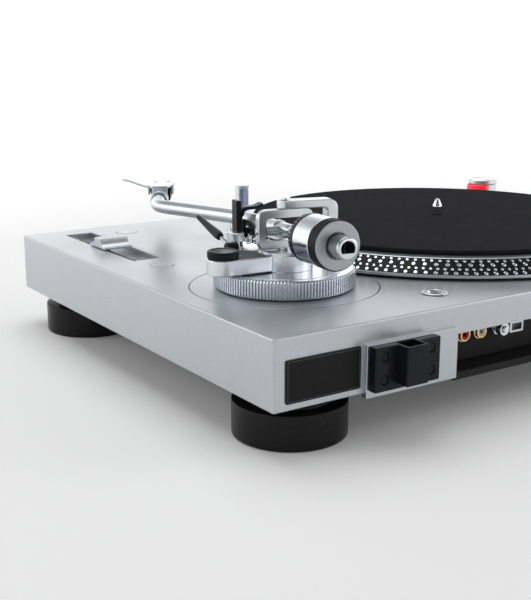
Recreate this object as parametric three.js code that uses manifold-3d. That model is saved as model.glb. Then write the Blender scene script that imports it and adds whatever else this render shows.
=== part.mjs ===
// Direct-drive turntable record player with an S-shaped tonearm.
// Millimetres, +Z up, +Y towards the rear. The origin is on the surface it stands on,
// under the middle of the outline, hinge brackets included.

import * as THREE from 'three';
import { mergeVertices } from 'three/addons/utils/BufferGeometryUtils.js';
import Module from 'manifold-3d';

const wasm = await Module();
wasm.setup();

// ---------------------------------------------------------------- driving dimensions

const GAP = 0.3;

// Plinth
const WIDTH = 452;
const DEPTH = 352;
const PLINTH_BOTTOM = 28.4;
const DECK = 69.9;
const WALL = 3;
const CORNER_R = 2;
const COVER_BOTTOM = 23.5;

// Rear wall: recess for the sockets and the two dust-cover hinges
const REAR = DEPTH / 2;
const RECESS_HALF = 96.5;
const RECESS_TOP = 52.2;
const PANEL_Y = 160;
const PAD_OUT = 3;
const HINGE_X = 140.5;
const HINGE_TOP = 57.2;
const HINGE_OUT = 18;
const HINGE_SCREW_Z = [37.7, 51.2];

// Feet
const FOOT_R = 34;
const FOOT_HEIGHT = 21.6;
const FOOT_INSET = 36;
const FRONT_FOOT_INSET = 44;
const FOOT_NECK_R = 25;

// Platter and motor
const SPINDLE = { x: -49.5, y: 0 };
const SPINDLE_R = 3.6;
const SPINDLE_TOP = 98.1;
const PLATTER_R = 166;
const PLATTER_BOTTOM = 71.5;
const BAND_BOTTOM = 73.4;
const PLATTER_TOP = 82.7;
const BAND_TOP_R = 155.5;
const MAT_R = 145.7;
const MAT_TOP = 85.9;
const MOTOR_HOLE_R = 61;

// Tonearm
const PIVOT = { x: 150.7, y: 77.3 };
const BASE_PLATE_R = 60;
const RING_R = 45;
const RING_INNER_R = 37.2;
const RING_TOP = 82;
const BASE_TOP = 92;
const ARM_Z = 105.2;
const ARM_YAW = THREE.MathUtils.degToRad(-98.9);
const ARM_SLOPE = 0.034;
const TUBE_R = 4.85;
const BEND_U = 62;
const CORNER = { u: 155, v: 31 };
const HEAD_YAW = THREE.MathUtils.degToRad(-22.3);
const COLLAR = { u: 192.6, v: 15.6 };
const WEIGHT_R = 15;

// Controls on the deck
const SLOT = { x: 186.75, y: -99.25, width: 21.5, length: 117.5, depth: 5 };
const QUARTZ = { x: 186.2, y: -19.2 };
const PITCH_RANGE = { x: 151.5, y: -144.1 };
const BUTTON_R = 8;
const START = { x: -199, y: -149, width: 34, length: 30 };
const SPEED_33 = { x: -163, y: -158 };
const SPEED_45 = { x: -140, y: -160 };
const SPEED_KEY = { width: 16, length: 9 };
const KEY_DEPTH = 6;
const POWER = { x: -207, y: -108, r: 13.7 };
const POWER_SPLIT = 85.8;
const POWER_TOP = 90;
const STROBE = { reach: 1.9, half: 10.3, turn: -0.26 };
const LIGHT = { x: 32, y: -159, r: 6.1, top: 96.8 };
const HOLDER = { x: 86.2, y: 146.3, r: 7.6 };
const ADAPTER = { x: -189, y: 140, r: 19 };

// ---------------------------------------------------------------- geometry helpers

function solid(geometry) {
  let g = geometry.clone();
  for (const name of Object.keys(g.attributes)) {
    if (name !== 'position') g.deleteAttribute(name);
  }
  g = mergeVertices(g, 1e-4);
  const points = g.attributes.position;
  const index = g.index.array;
  const a = new THREE.Vector3();
  const b = new THREE.Vector3();
  const c = new THREE.Vector3();
  const triangles = [];
  let volume = 0;
  for (let i = 0; i < index.length; i += 3) {
    const [p, q, r] = [index[i], index[i + 1], index[i + 2]];
    if (p === q || q === r || r === p) continue;
    triangles.push(p, q, r);
    a.fromBufferAttribute(points, p);
    b.fromBufferAttribute(points, q);
    c.fromBufferAttribute(points, r);
    volume += a.dot(b.cross(c));
  }
  if (volume < 0) triangles.reverse();
  return new wasm.Manifold(new wasm.Mesh({
    numProp: 3,
    vertProperties: new Float32Array(points.array),
    triVerts: new Uint32Array(triangles),
  }));
}

function toGeometry(manifold) {
  const mesh = manifold.getMesh();
  const g = new THREE.BufferGeometry();
  g.setAttribute('position', new THREE.BufferAttribute(new Float32Array(mesh.vertProperties), 3));
  g.setIndex(new THREE.BufferAttribute(new Uint32Array(mesh.triVerts), 1));
  g.computeVertexNormals();
  return g;
}

function join(first, ...others) {
  let m = solid(first);
  for (const other of others) m = m.add(solid(other));
  return toGeometry(m);
}

function cut(first, ...tools) {
  let m = solid(first);
  for (const tool of tools) m = m.subtract(solid(tool));
  return toGeometry(m);
}

function box(x0, x1, y0, y1, z0, z1) {
  const g = new THREE.BoxGeometry(x1 - x0, y1 - y0, z1 - z0);
  return g.translate((x0 + x1) / 2, (y0 + y1) / 2, (z0 + z1) / 2);
}

function post(r, z0, z1, x = 0, y = 0, segments = 20) {
  const g = new THREE.CylinderGeometry(r, r, z1 - z0, segments);
  return g.rotateX(Math.PI / 2).translate(x, y, (z0 + z1) / 2);
}

// Solid of revolution about Z from [radius, height] pairs.
function turned(profile, segments = 36) {
  const points = profile.map(([r, z]) => new THREE.Vector2(r, z));
  if (profile[0][0] > 0) points.push(points[0].clone());
  return new THREE.LatheGeometry(points, segments).rotateX(Math.PI / 2);
}

function washer(inner, outer, z0, z1, segments = 36) {
  return turned([[inner, z0], [outer, z0], [outer, z1], [inner, z1]], segments);
}

function alongX(geometry) {
  return geometry.rotateY(Math.PI / 2);
}

function alongY(geometry) {
  return geometry.rotateX(-Math.PI / 2);
}

function roundedRect(width, height, r, x = 0, y = 0) {
  const shape = new THREE.Shape();
  const w = width / 2 - r;
  const h = height / 2 - r;
  shape.absarc(x + w, y - h, r, -Math.PI / 2, 0);
  shape.absarc(x + w, y + h, r, 0, Math.PI / 2);
  shape.absarc(x - w, y + h, r, Math.PI / 2, Math.PI);
  shape.absarc(x - w, y - h, r, Math.PI, Math.PI * 1.5);
  shape.closePath();
  return shape;
}

function prism(shape, z0, z1, curveSegments = 2) {
  const g = new THREE.ExtrudeGeometry(shape, { depth: z1 - z0, bevelEnabled: false, curveSegments });
  return g.translate(0, 0, z0);
}

function polygon(points) {
  return new THREE.Shape(points.map(([x, y]) => new THREE.Vector2(x, y)));
}

// A flat outline given in (y, z), made thick along x from x0 to x1.
function slab(shape, x0, x1, curveSegments = 2) {
  return prism(shape, x0, x1, curveSegments).rotateX(Math.PI / 2).rotateZ(Math.PI / 2);
}

// Flat bar with round ends between two points on the plan.
function stadium(ax, ay, bx, by, r, z0, z1) {
  const angle = Math.atan2(by - ay, bx - ax);
  const shape = new THREE.Shape();
  shape.absarc(bx, by, r, angle - Math.PI / 2, angle + Math.PI / 2);
  shape.absarc(ax, ay, r, angle + Math.PI / 2, angle + Math.PI * 1.5);
  shape.closePath();
  return prism(shape, z0, z1, 5);
}

// ---------------------------------------------------------------- scene graph

const turntable = new THREE.Group();
turntable.position.y = -HINGE_OUT / 2;

// The arm stands turned on its pivot, with +X towards the stylus; its tube slopes down.
const armFrame = new THREE.Group();
armFrame.position.set(PIVOT.x, PIVOT.y, 0);
armFrame.rotation.z = ARM_YAW;
const tiltFrame = new THREE.Group();
tiltFrame.position.z = ARM_Z;
tiltFrame.rotation.y = ARM_SLOPE;
const headFrame = new THREE.Group();
headFrame.position.set(COLLAR.u, COLLAR.v, 0);
headFrame.rotation.z = HEAD_YAW;
turntable.add(armFrame);
armFrame.add(tiltFrame);
tiltFrame.add(headFrame);

function add(parent, name, geometry, color, roughness, metalness) {
  const material = new THREE.MeshStandardMaterial({ color, roughness, metalness });
  const mesh = new THREE.Mesh(geometry, material);
  mesh.name = name;
  parent.add(mesh);
  return mesh;
}

const SILVER = [0xc3c7cb, 0.42, 0.9];
const POLISHED = [0xd8dade, 0.18, 1.0];
const BLACK = [0x1c1d1f, 0.6, 0.0];
const RUBBER = [0x1a1a1b, 0.85, 0.0];
const BOARD = [0x1f5a33, 0.6, 0.1];

// ---------------------------------------------------------------- plinth

const cornerX = WIDTH / 2 - FOOT_INSET;
const frontY = -DEPTH / 2 + FRONT_FOOT_INSET;
const rearY = DEPTH / 2 - FOOT_INSET;
const FOOT_CENTRES = {
  front_right: [cornerX, frontY],
  front_left: [-cornerX, frontY],
  rear_right: [cornerX, rearY],
  rear_left: [-cornerX, rearY],
};

function topCase() {
  const skin = prism(roundedRect(WIDTH, DEPTH, CORNER_R), PLINTH_BOTTOM, DECK);
  const inside = box(-WIDTH / 2 + WALL, WIDTH / 2 - WALL, -REAR + WALL, REAR - WALL,
    PLINTH_BOTTOM - 1, DECK - WALL);
  const pads = [-1, 1].map((side) => {
    const inner = side * RECESS_HALF;
    const outer = side * (HINGE_X + 24.7);
    return box(Math.min(inner, outer), Math.max(inner, outer), REAR - 1, REAR + PAD_OUT, 26, HINGE_TOP);
  });
  const deckHoles = [
    post(MOTOR_HOLE_R, 60, 75, SPINDLE.x, SPINDLE.y, 36),
    post(BASE_PLATE_R + 0.5, 60, 75, PIVOT.x, PIVOT.y, 48),
    box(SLOT.x - SLOT.width / 2, SLOT.x + SLOT.width / 2,
      SLOT.y - SLOT.length / 2, SLOT.y + SLOT.length / 2, 60, 75),
    post(BUTTON_R + 0.4, 60, 75, QUARTZ.x, QUARTZ.y),
    post(BUTTON_R + 0.4, 60, 75, PITCH_RANGE.x, PITCH_RANGE.y),
    post(POWER.r - 3, 60, 75, POWER.x, POWER.y),
    post(LIGHT.r + 0.4, 60, 75, LIGHT.x, LIGHT.y),
    post(HOLDER.r + 0.3, 60, 75, HOLDER.x, HOLDER.y),
    post(ADAPTER.r + 1, DECK - 8.2, 75, ADAPTER.x, ADAPTER.y),
    prism(roundedRect(START.width + 0.8, START.length + 0.8, 2, START.x, START.y), 60, 75),
  ];
  for (const key of [SPEED_33, SPEED_45]) {
    deckHoles.push(prism(roundedRect(SPEED_KEY.width + 0.8, SPEED_KEY.length + 0.8, 1.5, key.x, key.y), 60, 75));
  }
  const recess = box(-RECESS_HALF, RECESS_HALF, REAR - WALL - 1, REAR + 10, 20, RECESS_TOP);
  const adapterCup = post(ADAPTER.r + 3, DECK - 10.2, DECK - 1, ADAPTER.x, ADAPTER.y, 24);
  return cut(join(cut(skin, inside), adapterCup, ...pads), recess, ...deckHoles);
}

// Closes the case from below: a plate inside the walls, and a step under it that stands back from
// the edges, with a round boss over each foot and a tongue under the sockets.
function bottomCover() {
  const inset = 26;
  const plateTop = PLINTH_BOTTOM + 2;
  const stepTop = PLINTH_BOTTOM + 1;
  const inner = 2 * (WALL + GAP);
  const plate = prism(roundedRect(WIDTH - inner, DEPTH - inner, 1), PLINTH_BOTTOM, plateTop);
  const step = prism(roundedRect(WIDTH - 2 * inset, DEPTH - 2 * inset, 6), COVER_BOTTOM, stepTop);
  const tongue = box(-RECESS_HALF + GAP, RECESS_HALF - GAP, PANEL_Y - 30, REAR, COVER_BOTTOM,
    PLINTH_BOTTOM - GAP);
  const bosses = Object.values(FOOT_CENTRES).map(([x, y]) =>
    post(FOOT_NECK_R, COVER_BOTTOM, stepTop, x, y, 24));
  const panelClearance = box(-RECESS_HALF - 6 - GAP, RECESS_HALF + 6 + GAP, PANEL_Y - 2 - GAP, REAR,
    COVER_BOTTOM, plateTop + 1);
  const studHoles = Object.values(FOOT_CENTRES).map(([x, y]) => post(4.5, 20, 35, x, y, 10));
  return cut(join(cut(plate, panelClearance), step, tongue, ...bosses), ...studHoles);
}

const SOCKETS = { rca_jack_right: 75, rca_jack_left: 61, ground_terminal: 45.5, usb_port: 29 };
const JACK_Z = 45.3;
const SWITCH_X = 4;
const DC_X = -40;

function rearPanel() {
  const face = box(-RECESS_HALF - 6, RECESS_HALF + 6, PANEL_Y - 2, PANEL_Y, PLINTH_BOTTOM, RECESS_TOP + 2.5);
  const ceiling = box(-RECESS_HALF - 6, RECESS_HALF + 6, PANEL_Y - 1, REAR - WALL - GAP,
    RECESS_TOP + 0.5, RECESS_TOP + 2.5);
  const cheeks = [-1, 1].map((side) => {
    const inner = side * (RECESS_HALF + 0.5);
    const outer = side * (RECESS_HALF + 6);
    return box(Math.min(inner, outer), Math.max(inner, outer), PANEL_Y - 1, REAR - WALL - GAP,
      PLINTH_BOTTOM, RECESS_TOP + 2);
  });
  const holes = ['rca_jack_right', 'rca_jack_left', 'ground_terminal'].map((name) =>
    alongY(post(4.2, -10, 10, 0, 0, 12)).translate(SOCKETS[name], PANEL_Y, JACK_Z));
  holes.push(box(SOCKETS.usb_port - 6.3, SOCKETS.usb_port + 6.3, PANEL_Y - 8, PANEL_Y + 8,
    JACK_Z - 5.8, JACK_Z + 5.8));
  holes.push(box(SWITCH_X - 8, SWITCH_X + 8, PANEL_Y - 8, PANEL_Y + 8, JACK_Z - 2.5, JACK_Z + 2.5));
  holes.push(alongY(post(5.2, -10, 10, 0, 0, 12)).translate(DC_X, PANEL_Y, JACK_Z));
  return cut(join(face, ceiling, ...cheeks), ...holes);
}

add(turntable, 'top_case', topCase(), ...SILVER);
add(turntable, 'bottom_cover', bottomCover(), ...BLACK);
add(turntable, 'rear_panel', rearPanel(), ...BLACK);

// A phono socket: a low rim on the panel and a blind hole that runs back behind it.
function rcaJack() {
  return turned([[0, -9], [3.9, -9], [3.9, GAP], [4.9, GAP], [4.9, 1], [4.1, 1], [4.1, 3.2],
    [3.0, 3.2], [3.0, -6], [0, -6]], 12);
}

for (const name of ['rca_jack_right', 'rca_jack_left']) {
  add(turntable, name, alongY(rcaJack()), 0xd6b46a, 0.3, 1.0).position.set(SOCKETS[name], PANEL_Y, JACK_Z);
}
add(turntable, 'ground_terminal', alongY(turned([[0, -8], [3.9, -8], [3.9, GAP], [4.6, GAP],
  [4.6, 1.5], [1.9, 1.5], [1.9, 9], [0, 9]], 12)), ...POLISHED)
  .position.set(SOCKETS.ground_terminal, PANEL_Y, JACK_Z);
add(turntable, 'ground_nut', alongY(washer(2.2, 4.2, 3, 7.5, 12)), ...POLISHED)
  .position.set(SOCKETS.ground_terminal, PANEL_Y, JACK_Z);
add(turntable, 'usb_port', cut(box(-6, 6, -12, 2, -5.5, 5.5), box(-4.4, 4.4, -9, 3, -4, 0.6),
  box(-4.4, 4.4, -9, 3, 1.8, 4)), 0xb9bcc0, 0.3, 1.0)
  .position.set(SOCKETS.usb_port, PANEL_Y, JACK_Z);
add(turntable, 'preamp_switch', join(box(-3, 3, -6, 2.4, -2.1, 2.1), box(-10, 10, -7, -2.4, -4, 4)),
  ...BLACK).position.set(SWITCH_X - 4, PANEL_Y, JACK_Z);
add(turntable, 'dc_jack', alongY(turned([[0, -11], [4.9, -11], [4.9, GAP], [6.4, GAP], [6.4, 1.6],
  [3.1, 1.6], [3.1, -8], [1.1, -8], [1.1, 0], [0, 0]], 12)), ...BLACK)
  .position.set(DC_X, PANEL_Y, JACK_Z);

// Dust-cover hinge bracket: screw flanges either side of an open-topped pocket.
function hingeBracket() {
  const y0 = REAR + PAD_OUT + GAP;
  const body = join(
    box(-24, 24, y0, REAR + 9.7, 31, HINGE_TOP - 0.2),
    box(-8, 8, y0, REAR + HINGE_OUT, 34, HINGE_TOP - 0.2),
  );
  const pocket = box(-6.4, 6.4, y0 + 2.2, REAR + HINGE_OUT - 1.6, 37, HINGE_TOP + 2);
  const wells = [];
  for (const x of [-17, 17]) {
    for (const z of HINGE_SCREW_Z) {
      wells.push(alongY(post(2.9, -1.2, 4, 0, 0, 10)).translate(x, REAR + 9.7, z));
    }
  }
  return cut(body, pocket, ...wells);
}

for (const [name, side] of [['hinge_bracket_right', 1], ['hinge_bracket_left', -1]]) {
  add(turntable, name, hingeBracket(), ...BLACK).position.x = side * HINGE_X;
}
add(turntable, 'label_plate', prism(roundedRect(50.5, 24.6, 1.2), 0, 0.6, 3).rotateX(Math.PI / 2),
  ...BLACK).position.set(193, REAR + 0.6 + GAP, 44.8);

// ---------------------------------------------------------------- feet

function foot() {
  const stud = 4;
  return turned([[0, 0], [FOOT_R, 0], [FOOT_R, FOOT_HEIGHT], [FOOT_NECK_R, FOOT_HEIGHT],
    [FOOT_NECK_R, COVER_BOTTOM - GAP], [stud, COVER_BOTTOM - GAP], [stud, 36], [0, 36]], 24);
}

for (const [place, [x, y]] of Object.entries(FOOT_CENTRES)) {
  add(turntable, `foot_${place}`, foot(), ...RUBBER).position.set(x, y, 0);
}

// ---------------------------------------------------------------- platter and motor

const spindleFrame = new THREE.Group();
spindleFrame.position.set(SPINDLE.x, SPINDLE.y, 0);
turntable.add(spindleFrame);

const HUB_R = 14;
const MAGNET = { inner: 44, outer: 53 };

add(spindleFrame, 'platter', turned([[SPINDLE_R + GAP, PLATTER_BOTTOM], [HUB_R, PLATTER_BOTTOM],
  [HUB_R, 77.5], [152, 77.5], [159, PLATTER_BOTTOM], [PLATTER_R, PLATTER_BOTTOM],
  [PLATTER_R, BAND_BOTTOM], [BAND_TOP_R, PLATTER_TOP], [SPINDLE_R + GAP, PLATTER_TOP]], 56),
0x9a9da1, 0.4, 0.8);
add(spindleFrame, 'slipmat', washer(SPINDLE_R + 0.4, MAT_R, PLATTER_TOP + GAP, MAT_TOP, 56), ...RUBBER);
add(spindleFrame, 'spindle', turned([[0, 42], [SPINDLE_R, 42], [SPINDLE_R, SPINDLE_TOP - 3],
  [2.4, SPINDLE_TOP - 0.8], [0, SPINDLE_TOP]], 14), ...POLISHED);
add(spindleFrame, 'rotor_magnet', washer(MAGNET.inner, MAGNET.outer, 55, 77.5 - GAP, 28),
  0x3a3b3e, 0.6, 0.4);
add(spindleFrame, 'motor_stator', washer(9.5, 40, 54.5, 68, 24), 0xa8642c, 0.5, 0.6);
add(spindleFrame, 'bearing_sleeve', turned([[0, 37], [8.6, 37], [8.6, 51], [9.2, 51], [9.2, 66],
  [SPINDLE_R + 0.16, 66], [SPINDLE_R + 0.16, 41.5], [0, 41.5]], 14), 0xb58b4a, 0.35, 1.0);
add(spindleFrame, 'motor_base', turned([[8.9, 49.2], [8.9, 46], [58, 46], [58, 62], [68, 62],
  [68, DECK - WALL - GAP], [55.5, DECK - WALL - GAP], [55.5, 49.2]], 36),
0x55585c, 0.5, 0.8);

// ---------------------------------------------------------------- boards inside

function board(width, length, parts) {
  const pieces = parts.map(([x, y, w, l, h]) => box(x - w / 2, x + w / 2, y - l / 2, y + l / 2, 1, h));
  return join(box(-width / 2, width / 2, -length / 2, length / 2, 0, 1.6), ...pieces);
}

add(turntable, 'motor_drive_board', board(110, 70, [[-30, 10, 22, 22, 9], [10, -12, 14, 14, 4],
  [34, 16, 12, 20, 12]]), ...BOARD).position.set(-50, -120, 32);
add(turntable, 'audio_board', board(150, 34, [[40, 2, 14, 12, 6], [0, -4, 10, 10, 3],
  [-45, 2, 16, 14, 10]]), ...BOARD).position.set(10, 128, 32);

// ---------------------------------------------------------------- deck controls

add(turntable, 'pitch_tray', cut(
  box(SLOT.x - SLOT.width / 2 - 4, SLOT.x + SLOT.width / 2 + 4, SLOT.y - SLOT.length / 2 - 4,
    SLOT.y + SLOT.length / 2 + 4, DECK - SLOT.depth - 1.5, DECK - WALL - GAP),
  box(SLOT.x - SLOT.width / 2, SLOT.x + SLOT.width / 2, SLOT.y - SLOT.length / 2,
    SLOT.y + SLOT.length / 2, DECK - SLOT.depth, DECK),
  box(SLOT.x + 3, SLOT.x + 6.5, SLOT.y - SLOT.length / 2 + 5, SLOT.y + SLOT.length / 2 - 5, 50, DECK),
), ...SILVER);

// Fader knob: a saddle over the slot with flared skirts and a flat grip on top.
function pitchKnob() {
  const half = new THREE.Shape();
  const [skirt, grip, low, high] = [12.5, 5, 0.5, 7.4];
  half.moveTo(-skirt, low);
  half.lineTo(skirt, low);
  half.lineTo(skirt, low + 1);
  half.quadraticCurveTo(grip + 1, low + 1.6, grip, high);
  half.lineTo(-grip, high);
  half.quadraticCurveTo(-grip - 1, low + 1.6, -skirt, low + 1);
  half.closePath();
  return join(slab(half, -11.3, 11.3, 4), box(2.6, 4.4, -4, 4, -12, 2));
}

add(turntable, 'pitch_knob', pitchKnob(), ...SILVER).position.set(SLOT.x + 1.2, -96, DECK);

function roundKey() {
  return turned([[0, -KEY_DEPTH], [BUTTON_R, -KEY_DEPTH], [BUTTON_R, -0.5], [BUTTON_R - 0.5, 0], [0, 0]], 20);
}

add(turntable, 'quartz_button', roundKey(), ...SILVER).position.set(QUARTZ.x, QUARTZ.y, DECK + 0.2);
add(turntable, 'pitch_range_button', roundKey(), ...SILVER)
  .position.set(PITCH_RANGE.x, PITCH_RANGE.y, DECK + 0.2);
add(turntable, 'start_stop_button', prism(roundedRect(START.width, START.length, 1.6), -KEY_DEPTH, 1.2),
  ...SILVER).position.set(START.x, START.y, DECK);
for (const [name, key] of [['speed_33_button', SPEED_33], ['speed_45_button', SPEED_45]]) {
  add(turntable, name, prism(roundedRect(SPEED_KEY.width, SPEED_KEY.length, 1.1), -KEY_DEPTH, 0.8),
    ...SILVER).position.set(key.x, key.y, DECK);
}

// Power switch: a fixed housing with the strobe window in its side, and the turning cap above.
const windowAngle = Math.atan2(SPINDLE.y - POWER.y, SPINDLE.x - POWER.x) + STROBE.turn;

function strobeHousing() {
  const shell = join(post(POWER.r - 0.6, DECK + GAP, POWER_SPLIT - GAP, 0, 0, 28),
    post(POWER.r - 3.6, DECK - 8, DECK + 1, 0, 0, 20));
  const window = box(5.5, 20, -STROBE.half, STROBE.half, DECK + 2, POWER_SPLIT);
  return cut(shell, window);
}

function strobeLens() {
  const outer = post(POWER.r + STROBE.reach, DECK + 2 + GAP, POWER_SPLIT - 0.5, 0, 0, 28);
  const side = STROBE.half - GAP;
  return toGeometry(solid(outer).intersect(solid(box(5.5 + GAP, 20, -side, side, DECK, POWER_SPLIT))));
}

for (const [name, geometry, look] of [['strobe_housing', strobeHousing(), SILVER],
  ['strobe_lens', strobeLens(), [0xe4202c, 0.25, 0.0]]]) {
  const mesh = add(turntable, name, geometry, ...look);
  mesh.position.set(POWER.x, POWER.y, 0);
  mesh.rotation.z = windowAngle;
}
add(turntable, 'power_knob', turned([[0, POWER_SPLIT], [POWER.r, POWER_SPLIT], [POWER.r, POWER_TOP - 0.6],
  [POWER.r - 0.6, POWER_TOP], [0, POWER_TOP]], 28), ...SILVER).position.set(POWER.x, POWER.y, 0);

// Pop-up stylus light: a round post with its lens let into the side that faces the platter.
const lightAngle = Math.atan2(SPINDLE.y - LIGHT.y, SPINDLE.x - LIGHT.x);
const lightPost = cut(post(LIGHT.r, 56, LIGHT.top, 0, 0, 20), box(0.9, 10, -10, 10, 78, LIGHT.top - 3));
const lightMesh = add(turntable, 'target_light', lightPost, ...SILVER);
lightMesh.position.set(LIGHT.x, LIGHT.y, 0);
lightMesh.rotation.z = lightAngle;
const lensMesh = add(turntable, 'target_light_lens',
  post(2.5, 78 + GAP, LIGHT.top - 3 - GAP, 3.7, 0, 14), 0xb9bfe6, 0.2, 0.0);
lensMesh.position.set(LIGHT.x, LIGHT.y, 0);
lensMesh.rotation.z = lightAngle;

add(turntable, 'headshell_holder', turned([[4.2, DECK - 24], [HOLDER.r, DECK - 24], [HOLDER.r, DECK + GAP],
  [HOLDER.r + 0.9, DECK + GAP], [HOLDER.r + 0.4, DECK + 0.9], [5.4, DECK + 0.9], [4.2, DECK - 0.6]], 20),
...POLISHED).position.set(HOLDER.x, HOLDER.y, 0);
add(turntable, 'adapter_45', turned([[SPINDLE_R + 0.1, DECK - 8 + GAP], [ADAPTER.r, DECK - 8 + GAP],
  [ADAPTER.r, DECK + 0.6], [ADAPTER.r - 2.5, DECK + 2.2], [SPINDLE_R + 0.1, DECK + 2.2]], 28),
...POLISHED).position.set(ADAPTER.x, ADAPTER.y, 0);

// ---------------------------------------------------------------- tonearm base

const baseFrame = new THREE.Group();
baseFrame.position.set(PIVOT.x, PIVOT.y, 0);
turntable.add(baseFrame);

const DIAL = { x: 44.5, y: -1.3, r: 9.7 };
const CUE_HUB = { x: 30.3, y: -14.3, z: 95.4, r: 2.9 };
const LIFT_POST = { radius: 40, angle: -104 };
const REST_ARM_TOP = 88.5;
const REST_U = 51;
const REST_POST = { u: 50, v: 9.5 };

function planPoint(u, v) {
  const c = Math.cos(ARM_YAW);
  const s = Math.sin(ARM_YAW);
  return [u * c - v * s, u * s + v * c];
}

const liftAngle = THREE.MathUtils.degToRad(LIFT_POST.angle);
const liftX = LIFT_POST.radius * Math.cos(liftAngle);
const liftY = LIFT_POST.radius * Math.sin(liftAngle);
const [restX, restY] = planPoint(REST_POST.u, REST_POST.v);

add(baseFrame, 'arm_base_plate', turned([[21, DECK - 18], [26, DECK - 18],
  [26, DECK - 5], [BASE_PLATE_R, DECK - 5], [BASE_PLATE_R, DECK], [21, DECK]], 48), ...SILVER);
add(baseFrame, 'height_ring', washer(RING_INNER_R, RING_R, DECK + 0.5, RING_TOP, 48), ...SILVER);

function armBase() {
  const low = RING_TOP + 0.4;
  const body = turned([[12, 54], [20, 54], [20, 73], [RING_INNER_R - 0.5, 73], [RING_INNER_R - 0.5, RING_TOP - 0.3],
    [18, RING_TOP - 0.3], [18, BASE_TOP], [16.8, BASE_TOP], [16.8, BASE_TOP + 1.3], [5, BASE_TOP + 1.3],
    [5, 80], [12, 80]], 32);
  const cueHole = post(2.6, 70, 100, liftX, liftY, 10);
  return cut(join(body, stadium(18, 0, DIAL.x, DIAL.y, 10, low, BASE_TOP),
    stadium(0, -12, restX, restY, 8, low, REST_ARM_TOP),
    stadium(20, 0, CUE_HUB.x, CUE_HUB.y, 7, low, BASE_TOP)), cueHole, post(5, 70, 100, 0, 0, 14));
}

add(baseFrame, 'arm_base', armBase(), ...SILVER);
add(baseFrame, 'anti_skate_dial', turned([[0, BASE_TOP + GAP], [DIAL.r, BASE_TOP + GAP],
  [DIAL.r, BASE_TOP + 4.3], [DIAL.r - 0.7, BASE_TOP + 5], [0, BASE_TOP + 5]], 24), ...BLACK)
  .position.set(DIAL.x, DIAL.y, 0);

// Cue lever: a cross hub, a thin stem and a tapered grip that rises towards the front.
const LEVER_RISE = THREE.MathUtils.degToRad(17.8);
const lever = join(
  alongX(post(CUE_HUB.r, -4, 4, 0, 0, 12)),
  alongX(turned([[0, 1], [1, 1], [1, 13], [2.7, 14], [2.9, 18], [1.5, 43], [0.9, 43.6], [0, 43.6]], 10))
    .rotateZ(-Math.PI / 2),
);
const leverMesh = add(baseFrame, 'cue_lever', lever, ...BLACK);
leverMesh.position.set(CUE_HUB.x, CUE_HUB.y, CUE_HUB.z);
leverMesh.rotation.x = -LEVER_RISE;

// Cue lift: a bar curved round the pivot, on a post that slides in the base.
function cueLift() {
  const shape = new THREE.Shape();
  const from = THREE.MathUtils.degToRad(-150);
  const to = THREE.MathUtils.degToRad(-92);
  shape.absarc(0, 0, LIFT_POST.radius + 2.5, from, to, false);
  shape.absarc(0, 0, LIFT_POST.radius - 2.5, to, from, true);
  shape.closePath();
  return join(prism(shape, 95.4, 98.2, 5), post(2.2, 84, 96, liftX, liftY, 10));
}

add(baseFrame, 'cue_lift_bar', cueLift(), ...BLACK);

// ---------------------------------------------------------------- arm rest

const restZ = ARM_Z - ARM_SLOPE * REST_U;
const restFrame = new THREE.Group();
restFrame.rotation.z = ARM_YAW;
baseFrame.add(restFrame);

function armRest() {
  const floor = restZ - TUBE_R - 0.4;
  const outline = polygon([[-7, floor], [5.4, floor], [5.4, restZ + 1], [7.4, restZ + 1], [7.4, floor - 3],
    [-7, floor - 3]]);
  return join(slab(outline, REST_U - 4, REST_U + 4), box(REST_U - 4, REST_U + 4, 4, 14, floor - 5.5, floor - 2.9),
    post(3, REST_ARM_TOP + GAP, floor - 3, REST_POST.u + 1, REST_POST.v, 12));
}

add(restFrame, 'arm_rest', armRest(), ...BLACK);

// Clamp: a finger tab that carries a hook over the tube; it tips outwards to free the arm.
const CLAMP_HINGE = { v: 10.2, z: restZ - 5.4 };

function armClamp() {
  const top = restZ + TUBE_R + 2.7;
  const hook = new THREE.Shape();
  hook.moveTo(9, restZ + 1.5);
  hook.lineTo(9, restZ + 6);
  hook.quadraticCurveTo(9, top + 2.2, 3, top + 2.2);
  hook.lineTo(-2.5, top + 2.2);
  hook.lineTo(-7, top + 3.8);
  hook.lineTo(-7.6, top + 2.4);
  hook.lineTo(-3, top);
  hook.lineTo(2.6, top);
  hook.quadraticCurveTo(6.4, top, 6.4, restZ + 5);
  hook.lineTo(8.6, restZ + 1.5);
  hook.closePath();
  const tab = slab(roundedRect(3.6, 21.5, 0.8, CLAMP_HINGE.v + 0.5, restZ + 3.4), REST_U - 4.1, REST_U + 4.1, 3);
  return join(slab(hook, REST_U - 3.6, REST_U + 3.6), tab);
}

add(restFrame, 'arm_clamp', armClamp(), ...BLACK);

// ---------------------------------------------------------------- gimbal

const RING_Z = 106.3;
const GIMBAL = { width: 38, height: 25, deep: 4.8, member: 5.4 };
const BRACKET = { z0: 119.2, z1: 124.2, reach: 33.8, leg: 7, wide: 10 };
const BRACKET_YAW = Math.atan2(0.292, -0.956);

function bracket() {
  const outline = new THREE.Shape();
  const { z0, z1, reach, leg } = BRACKET;
  outline.moveTo(0, z0);
  outline.lineTo(reach - leg - 2, z0);
  outline.quadraticCurveTo(reach - leg, z0, reach - leg, z0 - 3);
  outline.lineTo(reach - leg, RING_TOP);
  outline.lineTo(reach, RING_TOP);
  outline.lineTo(reach, z1 - 7);
  outline.quadraticCurveTo(reach, z1, reach - 7, z1);
  outline.lineTo(0, z1);
  outline.closePath();
  const arm = prism(outline, -BRACKET.wide / 2, BRACKET.wide / 2, 3).rotateX(Math.PI / 2);
  return cut(join(arm, post(BRACKET.wide / 2, z0, z1, 0, 0, 16)), post(2.3, 110, 130, 0, 0, 12));
}

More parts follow.
